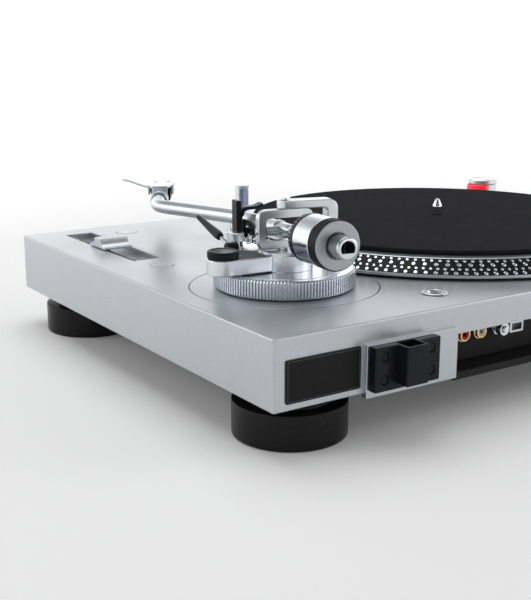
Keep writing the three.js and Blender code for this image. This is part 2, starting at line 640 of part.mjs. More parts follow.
const bracketMesh = add(baseFrame, 'gimbal_bracket', bracket(), ...SILVER);
bracketMesh.rotation.z = BRACKET_YAW;
add(baseFrame, 'pivot_screw', turned([[0, 118.8], [1, 118.8], [2, 120], [2, BRACKET.z1 + GAP],
  [3.4, BRACKET.z1 + GAP], [3.4, BRACKET.z1 + 1.6], [1.8, BRACKET.z1 + 1.6], [1.8, BRACKET.z1 + 2], [0, BRACKET.z1 + 2]],
12), ...POLISHED);

function gimbalRing() {
  const outline = roundedRect(GIMBAL.width, GIMBAL.height, 5.5, 0, RING_Z);
  outline.holes.push(roundedRect(GIMBAL.width - 2 * GIMBAL.member, GIMBAL.height - 2 * GIMBAL.member, 2, 0, RING_Z));
  const ring = slab(outline, -GIMBAL.deep / 2, GIMBAL.deep / 2);
  return join(ring, post(4.6, 84, RING_Z - GIMBAL.height / 2 + 1, 0, 0, 14));
}

add(armFrame, 'gimbal_ring', gimbalRing(), ...SILVER);

// ---------------------------------------------------------------- tonearm

function armTube() {
  const at = (u, v) => new THREE.Vector3(u, v, 0);
  const path = new THREE.CurvePath();
  const rise = CORNER.v / (CORNER.u - BEND_U);
  const fall = Math.tan(HEAD_YAW);
  const first = [at(8, 0), at(BEND_U - 7, 0), at(BEND_U, 0), at(BEND_U + 7, 7 * rise)];
  const second = [at(CORNER.u - 13, CORNER.v - 13 * rise), at(CORNER.u, CORNER.v), at(CORNER.u + 13, CORNER.v + 13 * fall)];
  path.add(new THREE.LineCurve3(first[0], first[1]));
  path.add(new THREE.QuadraticBezierCurve3(first[1], first[2], first[3]));
  path.add(new THREE.LineCurve3(first[3], second[0]));
  path.add(new THREE.QuadraticBezierCurve3(second[0], second[1], second[2]));
  path.add(new THREE.LineCurve3(second[2], at(COLLAR.u, COLLAR.v)));
  const section = new THREE.Shape();
  section.absarc(0, 0, TUBE_R, 0, Math.PI * 2);
  return new THREE.ExtrudeGeometry(section, { extrudePath: path, steps: 26, curveSegments: 6 });
}

add(tiltFrame, 'arm_tube', armTube(), ...SILVER);

// Everything behind the pivot is turned about the arm's axis; w is the distance behind the pivot.
function rearTurned(profile, segments) {
  return turned(profile, segments).rotateY(-Math.PI / 2);
}

const DIAL_W = [35, 40.4];
const WEIGHT_W = [40.8, 69.7];
const STUB_END = 81.5;
const BORE_R = 7.1;

function armShaft() {
  const shaft = rearTurned([[0, -7.7], [4.6, -7.7], [4.6, 13], [6, 18], [6, 34], [6.75, 34],
    [6.75, STUB_END - 1], [6, STUB_END], [4.5, STUB_END], [4.5, STUB_END - 12], [0, STUB_END - 12]], 18);
  const inner = GIMBAL.width / 2 - GIMBAL.member - 0.4;
  return join(shaft, alongY(post(3, -inner, inner, 0, 0, 12)));
}

add(tiltFrame, 'arm_shaft', armShaft(), ...SILVER);
add(tiltFrame, 'pressure_dial', rearTurned([[BORE_R, DIAL_W[0]], [WEIGHT_R - 0.6, DIAL_W[0]],
  [WEIGHT_R, DIAL_W[0] + 0.6], [WEIGHT_R, DIAL_W[1]], [BORE_R, DIAL_W[1]]], 28), ...BLACK);
add(tiltFrame, 'counterweight', rearTurned([[BORE_R, WEIGHT_W[0]], [WEIGHT_R, WEIGHT_W[0]],
  [WEIGHT_R, WEIGHT_W[1] - 0.5], [WEIGHT_R - 0.5, WEIGHT_W[1]], [BORE_R, WEIGHT_W[1]]], 28), ...POLISHED);

// ---------------------------------------------------------------- headshell

const SHELL = { start: 7.5, end: 51, width: 20.4, top: 9.4, thick: 2.2 };

add(headFrame, 'headshell_collar', alongX(turned([[5.2, -7], [6.6, -7], [7.1, -5], [7.1, 5.6], [6.5, 6.4],
  [5.2, 6.4]], 18)), ...POLISHED);

function headshell() {
  const roof = box(SHELL.start, SHELL.end, -SHELL.width / 2, SHELL.width / 2, SHELL.top - SHELL.thick, SHELL.top);
  const neck = join(alongX(post(4.7, 0.4, 12, 0, 0, 12)), box(7.5, 14, -6.5, 6.5, -3, SHELL.top - 0.5));
  const sides = [-1, 1].map((s) => box(10, SHELL.end - 2, s * (SHELL.width / 2) - (s > 0 ? 1.6 : 0),
    s * (SHELL.width / 2) + (s > 0 ? 0 : 1.6), 1.2, SHELL.top));
  return join(roof, neck, ...sides);
}

add(headFrame, 'headshell', headshell(), ...SILVER);

function fingerLift() {
  const path = new THREE.CubicBezierCurve3(new THREE.Vector3(38, SHELL.width / 2 + 0.4, 5.6),
    new THREE.Vector3(39, 17, 6.6), new THREE.Vector3(41, 25, 11), new THREE.Vector3(43, 32, 11.5));
  const section = new THREE.Shape();
  section.absellipse(0, 0, 1.1, 1.9, 0, Math.PI * 2, false, 0);
  return new THREE.ExtrudeGeometry(section, { extrudePath: path, steps: 8, curveSegments: 3 });
}

add(headFrame, 'finger_lift', fingerLift(), ...SILVER);
add(headFrame, 'cartridge', join(box(20, 47, -7.6, 7.6, -3.4, SHELL.top - SHELL.thick - GAP),
  box(24, 44, -5.4, 5.4, -7, -3)), ...BLACK);
add(headFrame, 'stylus', join(box(30, 46, -4, 4, -9, -7 - GAP), post(0.5, -10.1, -8.5, 40.8, 0, 8)), ...BLACK);

export default turntable;
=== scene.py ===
from math import atan2, cos, pi, radians, sin, sqrt, tan

import bmesh
import bpy
from mathutils import Matrix, Vector


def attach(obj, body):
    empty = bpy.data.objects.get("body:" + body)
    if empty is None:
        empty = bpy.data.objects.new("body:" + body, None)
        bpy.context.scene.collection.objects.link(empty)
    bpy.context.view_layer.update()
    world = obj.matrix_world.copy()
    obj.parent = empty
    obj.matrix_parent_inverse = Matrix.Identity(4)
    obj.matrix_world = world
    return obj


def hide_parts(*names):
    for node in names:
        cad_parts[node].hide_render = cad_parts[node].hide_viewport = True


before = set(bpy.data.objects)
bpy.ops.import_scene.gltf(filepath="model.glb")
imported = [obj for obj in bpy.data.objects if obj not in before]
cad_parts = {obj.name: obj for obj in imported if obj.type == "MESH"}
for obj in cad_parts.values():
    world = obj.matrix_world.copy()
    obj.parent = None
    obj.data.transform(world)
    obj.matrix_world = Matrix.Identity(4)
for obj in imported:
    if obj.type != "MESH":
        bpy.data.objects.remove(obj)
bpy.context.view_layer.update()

# ------------------------------------------------------------------ main sizes, millimetres

WIDTH, DEPTH, PLINTH_BOTTOM, DECK = 452, 352, 28.4, 69.9
REAR, PANEL_Y, RECESS_HALF, RECESS_TOP = 176, 160, 96.5, 52.2
HINGE_X, HINGE_TOP, HINGE_OUT = 140.5, 57.2, 18
SPINDLE = (-49.5, 0)
PLATTER_R, BAND_TOP_R, MAT_R = 166, 155.5, 145.7
BAND_BOTTOM, PLATTER_TOP, MAT_TOP = 73.4, 82.7, 85.9
PIVOT = (150.7, 77.3)
RING_INNER_R, RING_TOP, BASE_TOP = 37.2, 82, 92
ARM_Z, ARM_YAW, ARM_SLOPE, TUBE_R = 105.2, radians(-98.9), 0.034, 4.85
BEND_U, CORNER, COLLAR, HEAD_YAW = 62, (155, 31), (192.6, 15.6), radians(-22.3)
SLOT_X, SLOT_Y, SLOT_WIDTH, SLOT_LENGTH, SLOT_DEPTH = 186.75, -99.25, 21.5, 117.5, 5
QUARTZ, PITCH_RANGE = (186.2, -19.2), (151.5, -144.1)
START, SPEED_33, SPEED_45 = (-199, -149), (-163, -158), (-140, -160)
POWER, POWER_R, POWER_SPLIT, POWER_TOP = (-207, -108), 13.7, 85.8, 90
WINDOW_TURN, WINDOW_HALF, LENS_REACH = -0.26, 10.3, 1.9
LIGHT, LIGHT_R, LIGHT_TOP = (32, -159), 6.1, 96.8
HOLDER, HOLDER_R = (86.2, 146.3), 7.6
ADAPTER, ADAPTER_R = (-189, 140), 19
JACK_Z = 45.3
PHONO_RIGHT, PHONO_LEFT, GROUND_X, USB_X, SWITCH_X, DC_X = 75, 61, 45.5, 29, 4, -40

# ------------------------------------------------------------------ places


def at(x=0.0, y=0.0, z=0.0):
    return Matrix.Translation((x, y, z))


def turn(angle, axis="Z"):
    return Matrix.Rotation(angle, 4, axis)


WORLD = Matrix.Scale(0.001, 4) @ at(0, -HINGE_OUT / 2, 0)
PLINTH = Matrix.Identity(4)
SPIN = at(*SPINDLE)
BASE = at(*PIVOT)
ARM = BASE @ turn(ARM_YAW)
TILT = ARM @ at(0, 0, ARM_Z) @ turn(ARM_SLOPE, "Y")
HEAD = TILT @ at(*COLLAR) @ turn(HEAD_YAW)
BEHIND = TILT @ turn(-pi / 2, "Y")  # a turned profile's height runs back along the arm
ALONG_X = turn(pi / 2, "Y")
ALONG_Y = turn(-pi / 2, "X")
SIDEWAYS = turn(pi / 2, "Z") @ turn(pi / 2, "X")  # plan x, y and height become y, z and x

# ------------------------------------------------------------------ shapes


def filled(rings, closed=False):
    """A solid skinned over rings of points; a ring of one point is a tip."""
    bm = bmesh.new()
    made = [[bm.verts.new(p) for p in ring] for ring in rings]
    pairs = list(zip(made, made[1:]))
    if closed:
        pairs.append((made[-1], made[0]))
    for low, high in pairs:
        n = max(len(low), len(high))
        for i in range(n):
            j = (i + 1) % n
            corners = []
            for v in (low[i % len(low)], low[j % len(low)], high[j % len(high)], high[i % len(high)]):
                if v not in corners:
                    corners.append(v)
            if len(corners) > 2:
                bm.faces.new(corners)
    if not closed:
        for ring in (made[0], made[-1]):
            if len(ring) > 2:
                bm.faces.new(ring)
    bmesh.ops.recalc_face_normals(bm, faces=bm.faces)
    return bm


def eased(profile, radius=0.35, steps=3):
    """The same profile with every corner rounded a little."""
    points = [Vector(p) for p in profile]
    n = len(points)
    closed = profile[0][0] > 1e-6
    out = []
    for i, p in enumerate(points):
        if not closed and i in (0, n - 1):
            out.append(tuple(p))
            continue
        back, on = points[i - 1] - p, points[(i + 1) % n] - p
        if abs(back.angle(on) - pi) < 0.15:
            out.append(tuple(p))
            continue
        a = p + back.normalized() * min(radius, back.length * 0.45)
        b = p + on.normalized() * min(radius, on.length * 0.45)
        for k in range(steps + 1):
            t = k / steps
            out.append(tuple(a * (1 - t) ** 2 + p * 2 * t * (1 - t) + b * t * t))
    return out


def lathe(profile, segments=96, ribs=0, depth=0.0, ribbed=None, sharp=0.5):
    """A solid turned about Z from (radius, height) pairs. Ribs cut into the radii that ribbed picks."""
    if ribs:
        segments = ribs * 6
    rings = []
    for r, z in profile:
        if r < 1e-6:
            rings.append([(0, 0, z)])
            continue
        ring = []
        for i in range(segments):
            a = 2 * pi * i / segments
            cut = 0.0
            if ribs and ribbed(r, z):
                wave = 0.5 - 0.5 * cos(a * ribs)
                cut = depth * min(1.0, max(0.0, (wave - 0.5) / sharp + 0.5))
            ring.append(((r - cut) * cos(a), (r - cut) * sin(a), z))
        rings.append(ring)
    return filled(rings, closed=profile[0][0] > 1e-6)


def disc(r, z0, z1, ease=0.3, segments=64):
    return lathe(eased([(0, z0), (r, z0), (r, z1), (0, z1)], ease), segments)


def rounded(width, height, r, x=0.0, y=0.0, n=6):
    """Outline maker of a rounded rectangle; its argument moves the outline inwards."""
    def outline(inset=0.0):
        w, h, q = width / 2 - inset, height / 2 - inset, max(r - inset, 0.01)
        points = []
        for sx, sy, start in ((1, -1, -pi / 2), (1, 1, 0), (-1, 1, pi / 2), (-1, -1, pi)):
            for k in range(n + 1):
                a = start + pi / 2 * k / n
                points.append((x + sx * (w - q) + q * cos(a), y + sy * (h - q) + q * sin(a)))
        return points
    return outline


def stadium(ax, ay, bx, by, r, n=20):
    angle = atan2(by - ay, bx - ax)

    def outline(inset=0.0):
        points = []
        for cx, cy, start in ((bx, by, angle - pi / 2), (ax, ay, angle + pi / 2)):
            for k in range(n + 1):
                a = start + pi * k / n
                points.append((cx + (r - inset) * cos(a), cy + (r - inset) * sin(a)))
        return points
    return outline


def shape(points):
    """Outline maker of any simple outline, given anticlockwise."""
    pts = [Vector(p) for p in points]

    def outline(inset=0.0):
        moved = []
        for i, p in enumerate(pts):
            a = (p - pts[i - 1]).normalized()
            b = (pts[(i + 1) % len(pts)] - p).normalized()
            na, nb = Vector((-a.y, a.x)), Vector((-b.y, b.x))
            mid = na + nb
            mid /= max(mid.length_squared / 2, 0.3)
            moved.append(tuple(p + mid * inset))
        return moved
    return outline


def curve(points, spans=8):
    """A line with quadratic corners: every odd point is a corner that the line rounds."""
    out = [points[0]]
    for i in range(0, len(points) - 2, 2):
        a, c, b = (Vector(p) for p in points[i:i + 3])
        for k in range(1, spans + 1):
            t = k / spans
            out.append(tuple(a * (1 - t) ** 2 + c * 2 * t * (1 - t) + b * t * t))
    return out


def block(outline, z0, z1, ease=0.4, steps=3):
    """A flat solid with rounded rims top and bottom."""
    rims = []
    for k in range(steps + 1):
        a = pi / 2 * k / steps
        rims.append((ease * (1 - sin(a)), ease * (1 - cos(a))))
    layers = [(inset, z0 + up) for inset, up in rims] + [(inset, z1 - up) for inset, up in reversed(rims)]
    return filled([[(x, y, z) for x, y in outline(inset)] for inset, z in layers])


def box(x0, x1, y0, y1, z0, z1, ease=0.3, corner=None):
    r = ease if corner is None else corner
    return block(rounded(x1 - x0, y1 - y0, r, (x0 + x1) / 2, (y0 + y1) / 2, 3), z0, z1, ease)


def flared(outline, z0, rim, flare=0.35):
    """A hole cutter whose mouth widens a little at the height rim."""
    layers = [(0, z0), (0, rim - flare), (-flare - 0.05, rim + 0.05), (-flare - 0.05, rim + 4)]
    return filled([[(x, y, z) for x, y in outline(inset)] for inset, z in layers])


def circle(r, x=0.0, y=0.0, n=96):
    return lambda inset=0.0: [(x + (r - inset) * cos(2 * pi * k / n),
        y + (r - inset) * sin(2 * pi * k / n)) for k in range(n)]


def sweep(points, section, sides=24, up=Vector((0, 0, 1))):
    """A tube along points; section(share, angle) is (across, up) from the line."""
    pts = [Vector(p) for p in points]
    rings = []
    for i, p in enumerate(pts):
        ahead = (pts[min(i + 1, len(pts) - 1)] - pts[max(i - 1, 0)]).normalized()
        across = ahead.cross(up).normalized()
        lift = across.cross(ahead)
        ring = []
        for k in range(sides):
            s, t = section(i / (len(pts) - 1), 2 * pi * k / sides)
            ring.append(tuple(p + across * s + lift * t))
        rings.append(ring)
    return filled(rings)


def moved(bm, matrix):
    bmesh.ops.transform(bm, matrix=matrix, verts=bm.verts)
    return bm


def together(*parts):
    """Several shapes as one mesh."""
    whole = parts[0]
    for part in parts[1:]:
        mesh = bpy.data.meshes.new("part")
        part.to_mesh(mesh)
        part.free()
        whole.from_mesh(mesh)
        bpy.data.meshes.remove(mesh)
    return whole


def combined(first, other, operation="DIFFERENCE"):
    """The first shape with the other cut from it or joined to it."""
    objects = []
    for bm in (first, other):
        mesh = bpy.data.meshes.new("tool")
        bm.to_mesh(mesh)
        bm.free()
        objects.append(bpy.data.objects.new("tool", mesh))
        bpy.context.scene.collection.objects.link(objects[-1])
    base, tool = objects
    modifier = base.modifiers.new("cut", "BOOLEAN")
    modifier.operation = operation
    modifier.solver = "EXACT"
    modifier.object = tool
    depsgraph = bpy.context.evaluated_depsgraph_get()
    out = bmesh.new()
    out.from_mesh(base.evaluated_get(depsgraph).to_mesh())
    for o in objects:
        mesh = o.data
        bpy.data.objects.remove(o)
        bpy.data.meshes.remove(mesh)
    return out


def piece(name, bm, place, body, look, stands_for=(), sharp=32):
    moved(bm, WORLD @ place)
    mesh = bpy.data.meshes.new(name)
    bm.to_mesh(mesh)
    bm.free()
    mesh.shade_smooth()
    mesh.set_sharp_from_angle(angle=radians(sharp))
    mesh.materials.append(look)
    o = bpy.data.objects.new(name, mesh)
    bpy.context.scene.collection.objects.link(o)
    weights = o.modifiers.new("flat_faces_lead", "WEIGHTED_NORMAL")
    weights.keep_sharp = True
    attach(o, body)
    if stands_for:
        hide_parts(*stands_for)
    return o


# ------------------------------------------------------------------ materials


class Look:
    """A principled material with helpers for its procedural detail."""

    def __init__(self, name, metallic=0.0, coat=0.0, sheen=0.0, ior=1.5, specular=0.5):
        self.material = bpy.data.materials.new(name)
        self.material.use_nodes = True
        self.nodes = self.material.node_tree.nodes
        self.links = self.material.node_tree.links
        self.shader = self.nodes["Principled BSDF"]
        self.shader.inputs["Metallic"].default_value = metallic
        self.shader.inputs["Coat Weight"].default_value = coat
        self.shader.inputs["Coat Roughness"].default_value = 0.12
        self.shader.inputs["Sheen Weight"].default_value = sheen
        self.shader.inputs["Sheen Roughness"].default_value = 0.6
        self.shader.inputs["IOR"].default_value = ior
        self.shader.inputs["Specular IOR Level"].default_value = specular
        self.place = self.nodes.new("ShaderNodeTexCoord").outputs["Object"]
        self.height = None

    def noise(self, scale, detail=3.0, stretch=None, roughness=0.55):
        n = self.nodes.new("ShaderNodeTexNoise")
        n.inputs["Scale"].default_value = scale
        n.inputs["Detail"].default_value = detail
        n.inputs["Roughness"].default_value = roughness
        self.links.new(self.stretched(stretch), n.inputs["Vector"])
        return n.outputs["Fac"]

    def stretched(self, stretch, centre=None):
        if stretch is None and centre is None:
            return self.place
        m = self.nodes.new("ShaderNodeMapping")
        m.vector_type = "POINT"
        if centre is not None:
            m.inputs["Location"].default_value = [-c for c in centre]
        if stretch is not None:
            m.inputs["Scale"].default_value = stretch
        self.links.new(self.place, m.inputs["Vector"])
        return m.outputs["Vector"]

    def rings(self, centre, scale, distortion=0.0, direction="Z"):
        n = self.nodes.new("ShaderNodeTexWave")
        n.wave_type = "RINGS"
        n.rings_direction = direction
        n.inputs["Scale"].default_value = scale
        n.inputs["Distortion"].default_value = distortion
        n.inputs["Detail"].default_value = 1.0
        self.links.new(self.stretched(None, centre), n.inputs["Vector"])
        return n.outputs["Fac"]

    def spread(self, value, low, high, a=0.3, b=0.7):
        m = self.nodes.new("ShaderNodeMapRange")
        m.inputs["From Min"].default_value = a
        m.inputs["From Max"].default_value = b
        m.inputs["To Min"].default_value = low
        m.inputs["To Max"].default_value = high
        self.links.new(value, m.inputs["Value"])
        return m.outputs["Result"]

    def colour(self, value, dark, light):
        m = self.nodes.new("ShaderNodeMix")
        m.data_type = "RGBA"
        m.inputs["A"].default_value = (*dark, 1)
        m.inputs["B"].default_value = (*light, 1)
        self.links.new(self.spread(value, 0, 1), m.inputs["Factor"])
        self.links.new(m.outputs["Result"], self.shader.inputs["Base Color"])
        return self

    def rough(self, value, low, high):
        self.links.new(self.spread(value, low, high), self.shader.inputs["Roughness"])
        return self

    def bump(self, value, strength, distance):
        b = self.nodes.new("ShaderNodeBump")
        b.inputs["Strength"].default_value = strength
        b.inputs["Distance"].default_value = distance
        self.links.new(value, b.inputs["Height"])
        if self.height is not None:
            self.links.new(self.height, b.inputs["Normal"])
        self.height = b.outputs["Normal"]
        self.links.new(self.height, self.shader.inputs["Normal"])
        return self


def grey(value, tint=(1.0, 1.0, 1.0)):
    return tuple(value * t for t in tint)


COOL = (0.94, 0.99, 1.05)


def painted_silver(name, value, roughness, metallic=0.85):
    look = Look(name, metallic=metallic, coat=0.05)
    look.colour(look.noise(900, 2), grey(value * 0.95, COOL), grey(value * 1.04, COOL))
    look.rough(look.noise(14, 3), roughness * 0.9, roughness * 1.12)
    look.bump(look.noise(4200, 2), 0.05, 0.00002)
    return look.material


def machined(name, value, roughness, stretch=None, fine=0.12, tint=COOL):
    look = Look(name, metallic=1.0)
    look.colour(look.noise(60, 3), grey(value * 0.985, tint), grey(value * 1.015, tint))
    look.rough(look.noise(220, 3, stretch), roughness * 0.95, roughness * 1.05)
    look.bump(look.noise(2200, 2, stretch), fine * 0.2, 0.00001)
    return look.material


def turned_metal(name, value, roughness, centre, scale=900, fine=0.12, direction="Z", tint=COOL):
    look = Look(name, metallic=1.0)
    grooves = look.rings(centre, scale, 1.5, direction)
    look.colour(look.noise(45, 3), grey(value * 0.985, tint), grey(value * 1.015, tint))
    look.rough(look.noise(300, 3), roughness * 0.95, roughness * 1.05)
    look.bump(grooves, fine * 0.25, 0.00001)
    return look.material


def moulded(name, colour, roughness, grain=0.25, scale=2600, coat=0.0):
    look = Look(name, coat=coat * 0.4, specular=0.12)
    dark, light = tuple(c * 0.8 for c in colour), tuple(c * 1.1 for c in colour)
    look.colour(look.noise(300, 3), dark, light)
    look.rough(look.noise(120, 3), roughness * 0.88, roughness * 1.12)
    look.bump(look.noise(scale, 3), grain, 0.00008)
    return look.material


def world_point(matrix, x=0, y=0, z=0):
    return tuple(WORLD @ matrix @ Vector((x, y, z)))


CASE = painted_silver("case_paint", 0.54, 0.34)
KEY = painted_silver("key_paint", 0.60, 0.34)
TRIM = painted_silver("trim_paint", 0.72, 0.30)
BASE_METAL = turned_metal("arm_base_metal", 0.70, 0.24, world_point(BASE), 700)
RING_METAL = machined("height_ring_metal", 0.72, 0.27)
PLATTER_METAL = turned_metal("platter_metal", 0.62, 0.30, world_point(SPIN), 500)
ARM_METAL = machined("arm_metal", 0.60, 0.30, fine=0.06)
SHAFT_METAL = machined("shaft_metal", 0.62, 0.24, fine=0.06)
GIMBAL_METAL = machined("gimbal_metal", 0.66, 0.30, fine=0.10)
CHROME = machined("bright_metal", 0.80, 0.10, fine=0.02)
WEIGHT_METAL = machined("weight_metal", 0.72, 0.15, fine=0.04)
WEIGHT_FACE = machined("weight_face", 0.34, 0.36, fine=0.14)
SOFT_METAL = machined("soft_metal", 0.68, 0.20, fine=0.06)
BLACK = moulded("black_plastic", (0.013, 0.014, 0.015), 0.42, 0.18)
SATIN_BLACK = moulded("satin_black", (0.010, 0.0105, 0.012), 0.30, 0.08, coat=0.15)
PANEL_BLACK = moulded("panel_black", (0.016, 0.016, 0.017), 0.50, 0.3)
BAND_BLACK = moulded("band_black", (0.008, 0.008, 0.009), 0.34, 0.1, coat=0.2)
LABEL = moulded("label_black", (0.010, 0.010, 0.011), 0.36, 0.05, 1200)
LABEL_LINE = moulded("label_line", (0.09, 0.09, 0.095), 0.5, 0.05)
FOOT_BLACK = moulded("foot_black", (0.010, 0.010, 0.011), 0.30, 0.10, 1800, coat=0.2)
SLATE = moulded("slate_plate", (0.085, 0.09, 0.10), 0.42, 0.12)
MARK_GREY = moulded("mark_grey", (0.10, 0.10, 0.11), 0.5, 0.05)
MARK_WHITE = moulded("mark_white", (0.62, 0.62, 0.62), 0.5, 0.05)
RED_PLASTIC = moulded("red_insert", (0.42, 0.016, 0.018), 0.38, 0.05, coat=0.2)
CREAM_PLASTIC = moulded("cream_insert", (0.66, 0.60, 0.48), 0.42, 0.05)
GILT = machined("gilt", 0.82, 0.18, fine=0.04, tint=(1.0, 0.74, 0.36))
# Near-black painted shade for the bottom of the shaft's bore and for the pitch fader's slit and gap.
PAINTED_SHADE_BLACK = moulded("painted_shade_black", (0.004, 0.004, 0.004), 0.7, 0.3)


def felt():
    look = Look("felt", sheen=0.0, specular=0.04)
    look.colour(look.noise(1100, 5, None, 0.75), (0.006, 0.006, 0.007), (0.028, 0.027, 0.030))
    look.rough(look.noise(60, 3), 0.92, 1.0)
    look.bump(look.noise(2600, 5, None, 0.8), 0.55, 0.0004)
    look.bump(look.noise(700, 3), 0.25, 0.0005)
    return look.material


def lens(name, colour, glow):
    look = Look(name, coat=0.5, ior=1.49)
    look.colour(look.noise(90, 2), tuple(c * 0.8 for c in colour), tuple(min(1, c * 1.15) for c in colour))
    look.rough(look.noise(400, 2), 0.12, 0.22)
    look.bump(look.noise(500, 2), 0.05, 0.0001)
    look.shader.inputs["Subsurface Weight"].default_value = 0.3
    look.shader.inputs["Subsurface Radius"].default_value = (0.004, 0.002, 0.002)
    look.shader.inputs["Emission Color"].default_value = (*colour, 1)
    look.shader.inputs["Emission Strength"].default_value = glow
    return look.material


def circuit_board():
    look = Look("circuit_board")
    tracks = look.nodes.new("ShaderNodeTexBrick")
    tracks.inputs["Scale"].default_value = 120
    tracks.inputs["Color1"].default_value = (0.012, 0.08, 0.03, 1)
    tracks.inputs["Color2"].default_value = (0.016, 0.10, 0.04, 1)
    tracks.inputs["Mortar"].default_value = (0.05, 0.2, 0.08, 1)
    look.links.new(look.place, tracks.inputs["Vector"])
    look.links.new(tracks.outputs["Color"], look.shader.inputs["Base Color"])
    look.rough(look.noise(300), 0.3, 0.5)
    look.bump(tracks.outputs["Fac"], 0.3, 0.0001)
    return look.material


def windings():
    look = Look("copper_windings", metallic=1.0)
    turns = look.rings(world_point(SPIN), 420, 0.6)
    look.colour(turns, (0.30, 0.10, 0.035), (0.75, 0.34, 0.15))
    look.rough(look.noise(400), 0.25, 0.45)
    look.bump(turns, 0.6, 0.0003)
    return look.material


FELT = felt()
RED_LENS = lens("red_lens", (0.85, 0.03, 0.045), 0.5)
BLUE_LENS = lens("blue_lens", (0.42, 0.45, 0.72), 0.15)

for node, look in {
    "bottom_cover": PANEL_BLACK,
    "rotor_magnet": machined("magnet", 0.10, 0.45, fine=0.3),
    "motor_stator": windings(),
    "bearing_sleeve": machined("bearing_bronze", 0.55, 0.25, tint=(1.0, 0.70, 0.36)),
    "motor_base": machined("zinc_steel", 0.40, 0.42, fine=0.25),
    "motor_drive_board": circuit_board(),
    "audio_board": bpy.data.materials["circuit_board"],
}.items():
    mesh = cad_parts[node].data
    mesh.materials.clear()
    mesh.materials.append(look)

# ------------------------------------------------------------------ plinth


def deck_holes():
    holes = [
        flared(circle(61, *SPINDLE), 60, DECK),
        flared(circle(60.5, *PIVOT, 160), 60, DECK, 0.3),
        flared(rounded(SLOT_WIDTH, SLOT_LENGTH, 1.0, SLOT_X, SLOT_Y), 60, DECK, 0.5),
        flared(circle(8.4, *QUARTZ), 60, DECK),
        flared(circle(8.4, *PITCH_RANGE), 60, DECK),
        flared(circle(POWER_R - 3, *POWER), 60, DECK),
        flared(circle(LIGHT_R + 0.4, *LIGHT), 60, DECK),
        flared(circle(HOLDER_R + 0.3, *HOLDER), 60, DECK),
        flared(circle(ADAPTER_R + 1, *ADAPTER), DECK - 8.2, DECK, 0.6),
        flared(rounded(34.8, 30.8, 2, *START), 60, DECK),
        flared(rounded(16.8, 9.8, 1.5, *SPEED_33), 60, DECK),
        flared(rounded(16.8, 9.8, 1.5, *SPEED_45), 60, DECK),
    ]
    return together(*holes)


def top_case():
    skin = block(rounded(WIDTH, DEPTH, 2.0), PLINTH_BOTTOM, DECK, 0.9, 4)
    inside = block(rounded(WIDTH - 6, DEPTH - 6, 0.5), PLINTH_BOTTOM - 5, DECK - 3, 0.2)
    recess = block(rounded(2 * RECESS_HALF, 30, 0.5, 0, REAR + 11), 15, RECESS_TOP, 0.2)
    skin = combined(skin, inside)
    cup = lathe([(ADAPTER_R + 3, DECK - 10.2), (ADAPTER_R + 3, DECK - 1.5), (0, DECK - 1.5),
        (0, DECK - 10.2)][::-1], 96)
    skin = combined(skin, moved(cup, at(*ADAPTER)), "UNION")
    skin = combined(skin, recess)
    skin = combined(skin, deck_holes())
    pads = []
    for side in (-1, 1):
        inner, outer = side * RECESS_HALF, side * (HINGE_X + 24.7)
        pads.append(box(min(inner, outer), max(inner, outer), REAR - 1, REAR + 3, 26, HINGE_TOP, 0.5))
    return together(skin, *pads)


piece("top_case_shell", top_case(), PLINTH, "chassis", CASE, ["top_case"])


def rear_panel():
    wall = box(-RECESS_HALF - 6, RECESS_HALF + 6, PANEL_Y - 2, PANEL_Y, PLINTH_BOTTOM, RECESS_TOP + 2.5, 0.2)
    hole = moved(box(-8, 8, -8, 8, -2.5, 2.5, 0.1), at(SWITCH_X, PANEL_Y, JACK_Z))
    port = moved(box(-6.3, 6.3, -8, 8, -5.8, 5.8, 0.1), at(USB_X, PANEL_Y, JACK_Z))
    wall = combined(wall, together(hole, port))
    extras = [box(-RECESS_HALF - 6, RECESS_HALF + 6, PANEL_Y - 1, REAR - 3.3, RECESS_TOP + 0.5,
        RECESS_TOP + 2.5)]
    for side in (-1, 1):
        a, b = side * (RECESS_HALF + 0.5), side * (RECESS_HALF + 6)
        extras.append(box(min(a, b), max(a, b), PANEL_Y - 1, REAR - 3.3, PLINTH_BOTTOM, RECESS_TOP + 2))
    return together(wall, *extras)


piece("rear_panel_moulding", rear_panel(), PLINTH, "chassis", PANEL_BLACK, ["rear_panel"])

for side, x, insert in (("right", PHONO_RIGHT, RED_PLASTIC), ("left", PHONO_LEFT, CREAM_PLASTIC)):
    socket = at(x, PANEL_Y, JACK_Z) @ ALONG_Y
    shell = eased([(0, -9), (3.9, -9), (3.9, 0.3), (4.9, 0.3), (4.9, 1), (4.1, 1), (4.1, 3.2),
        (3.05, 3.2), (3.05, -6), (0, -6)], 0.2)
    piece(f"phono_shell_{side}", lathe(shell, 48), socket, "chassis", GILT, [f"rca_jack_{side}"])
    core = eased([(1.4, -5.9), (3.0, -5.9), (3.0, 2.8), (1.4, 2.8)], 0.2)
    piece(f"phono_insert_{side}", lathe(core, 40), socket, "chassis", insert)

GROUND = at(GROUND_X, PANEL_Y, JACK_Z) @ ALONG_Y
post = eased([(0, -8), (3.9, -8), (3.9, 0.3), (4.6, 0.3), (4.6, 1.5), (1.9, 1.5), (1.9, 9), (0, 9)], 0.25)
piece("ground_post", lathe(post, 48), GROUND, "chassis", CHROME, ["ground_terminal"])
nut = eased([(2.2, 3), (4.2, 3), (4.2, 7.5), (2.2, 7.5)], 0.4)
piece("ground_nut_knurled", lathe(nut, ribs=28, depth=0.3, ribbed=lambda r, z: r > 3.8), GROUND,
    "ground_nut", CHROME, ["ground_nut"])


def usb_port():
    shell = box(-6, 6, -12, 2, -5.5, 5.5, 0.3)
    mouth = together(box(-4.4, 4.4, -9, 3, -4, 0.6, 0.1), box(-4.4, 4.4, -9, 3, 1.8, 4, 0.1))
    return combined(shell, mouth)


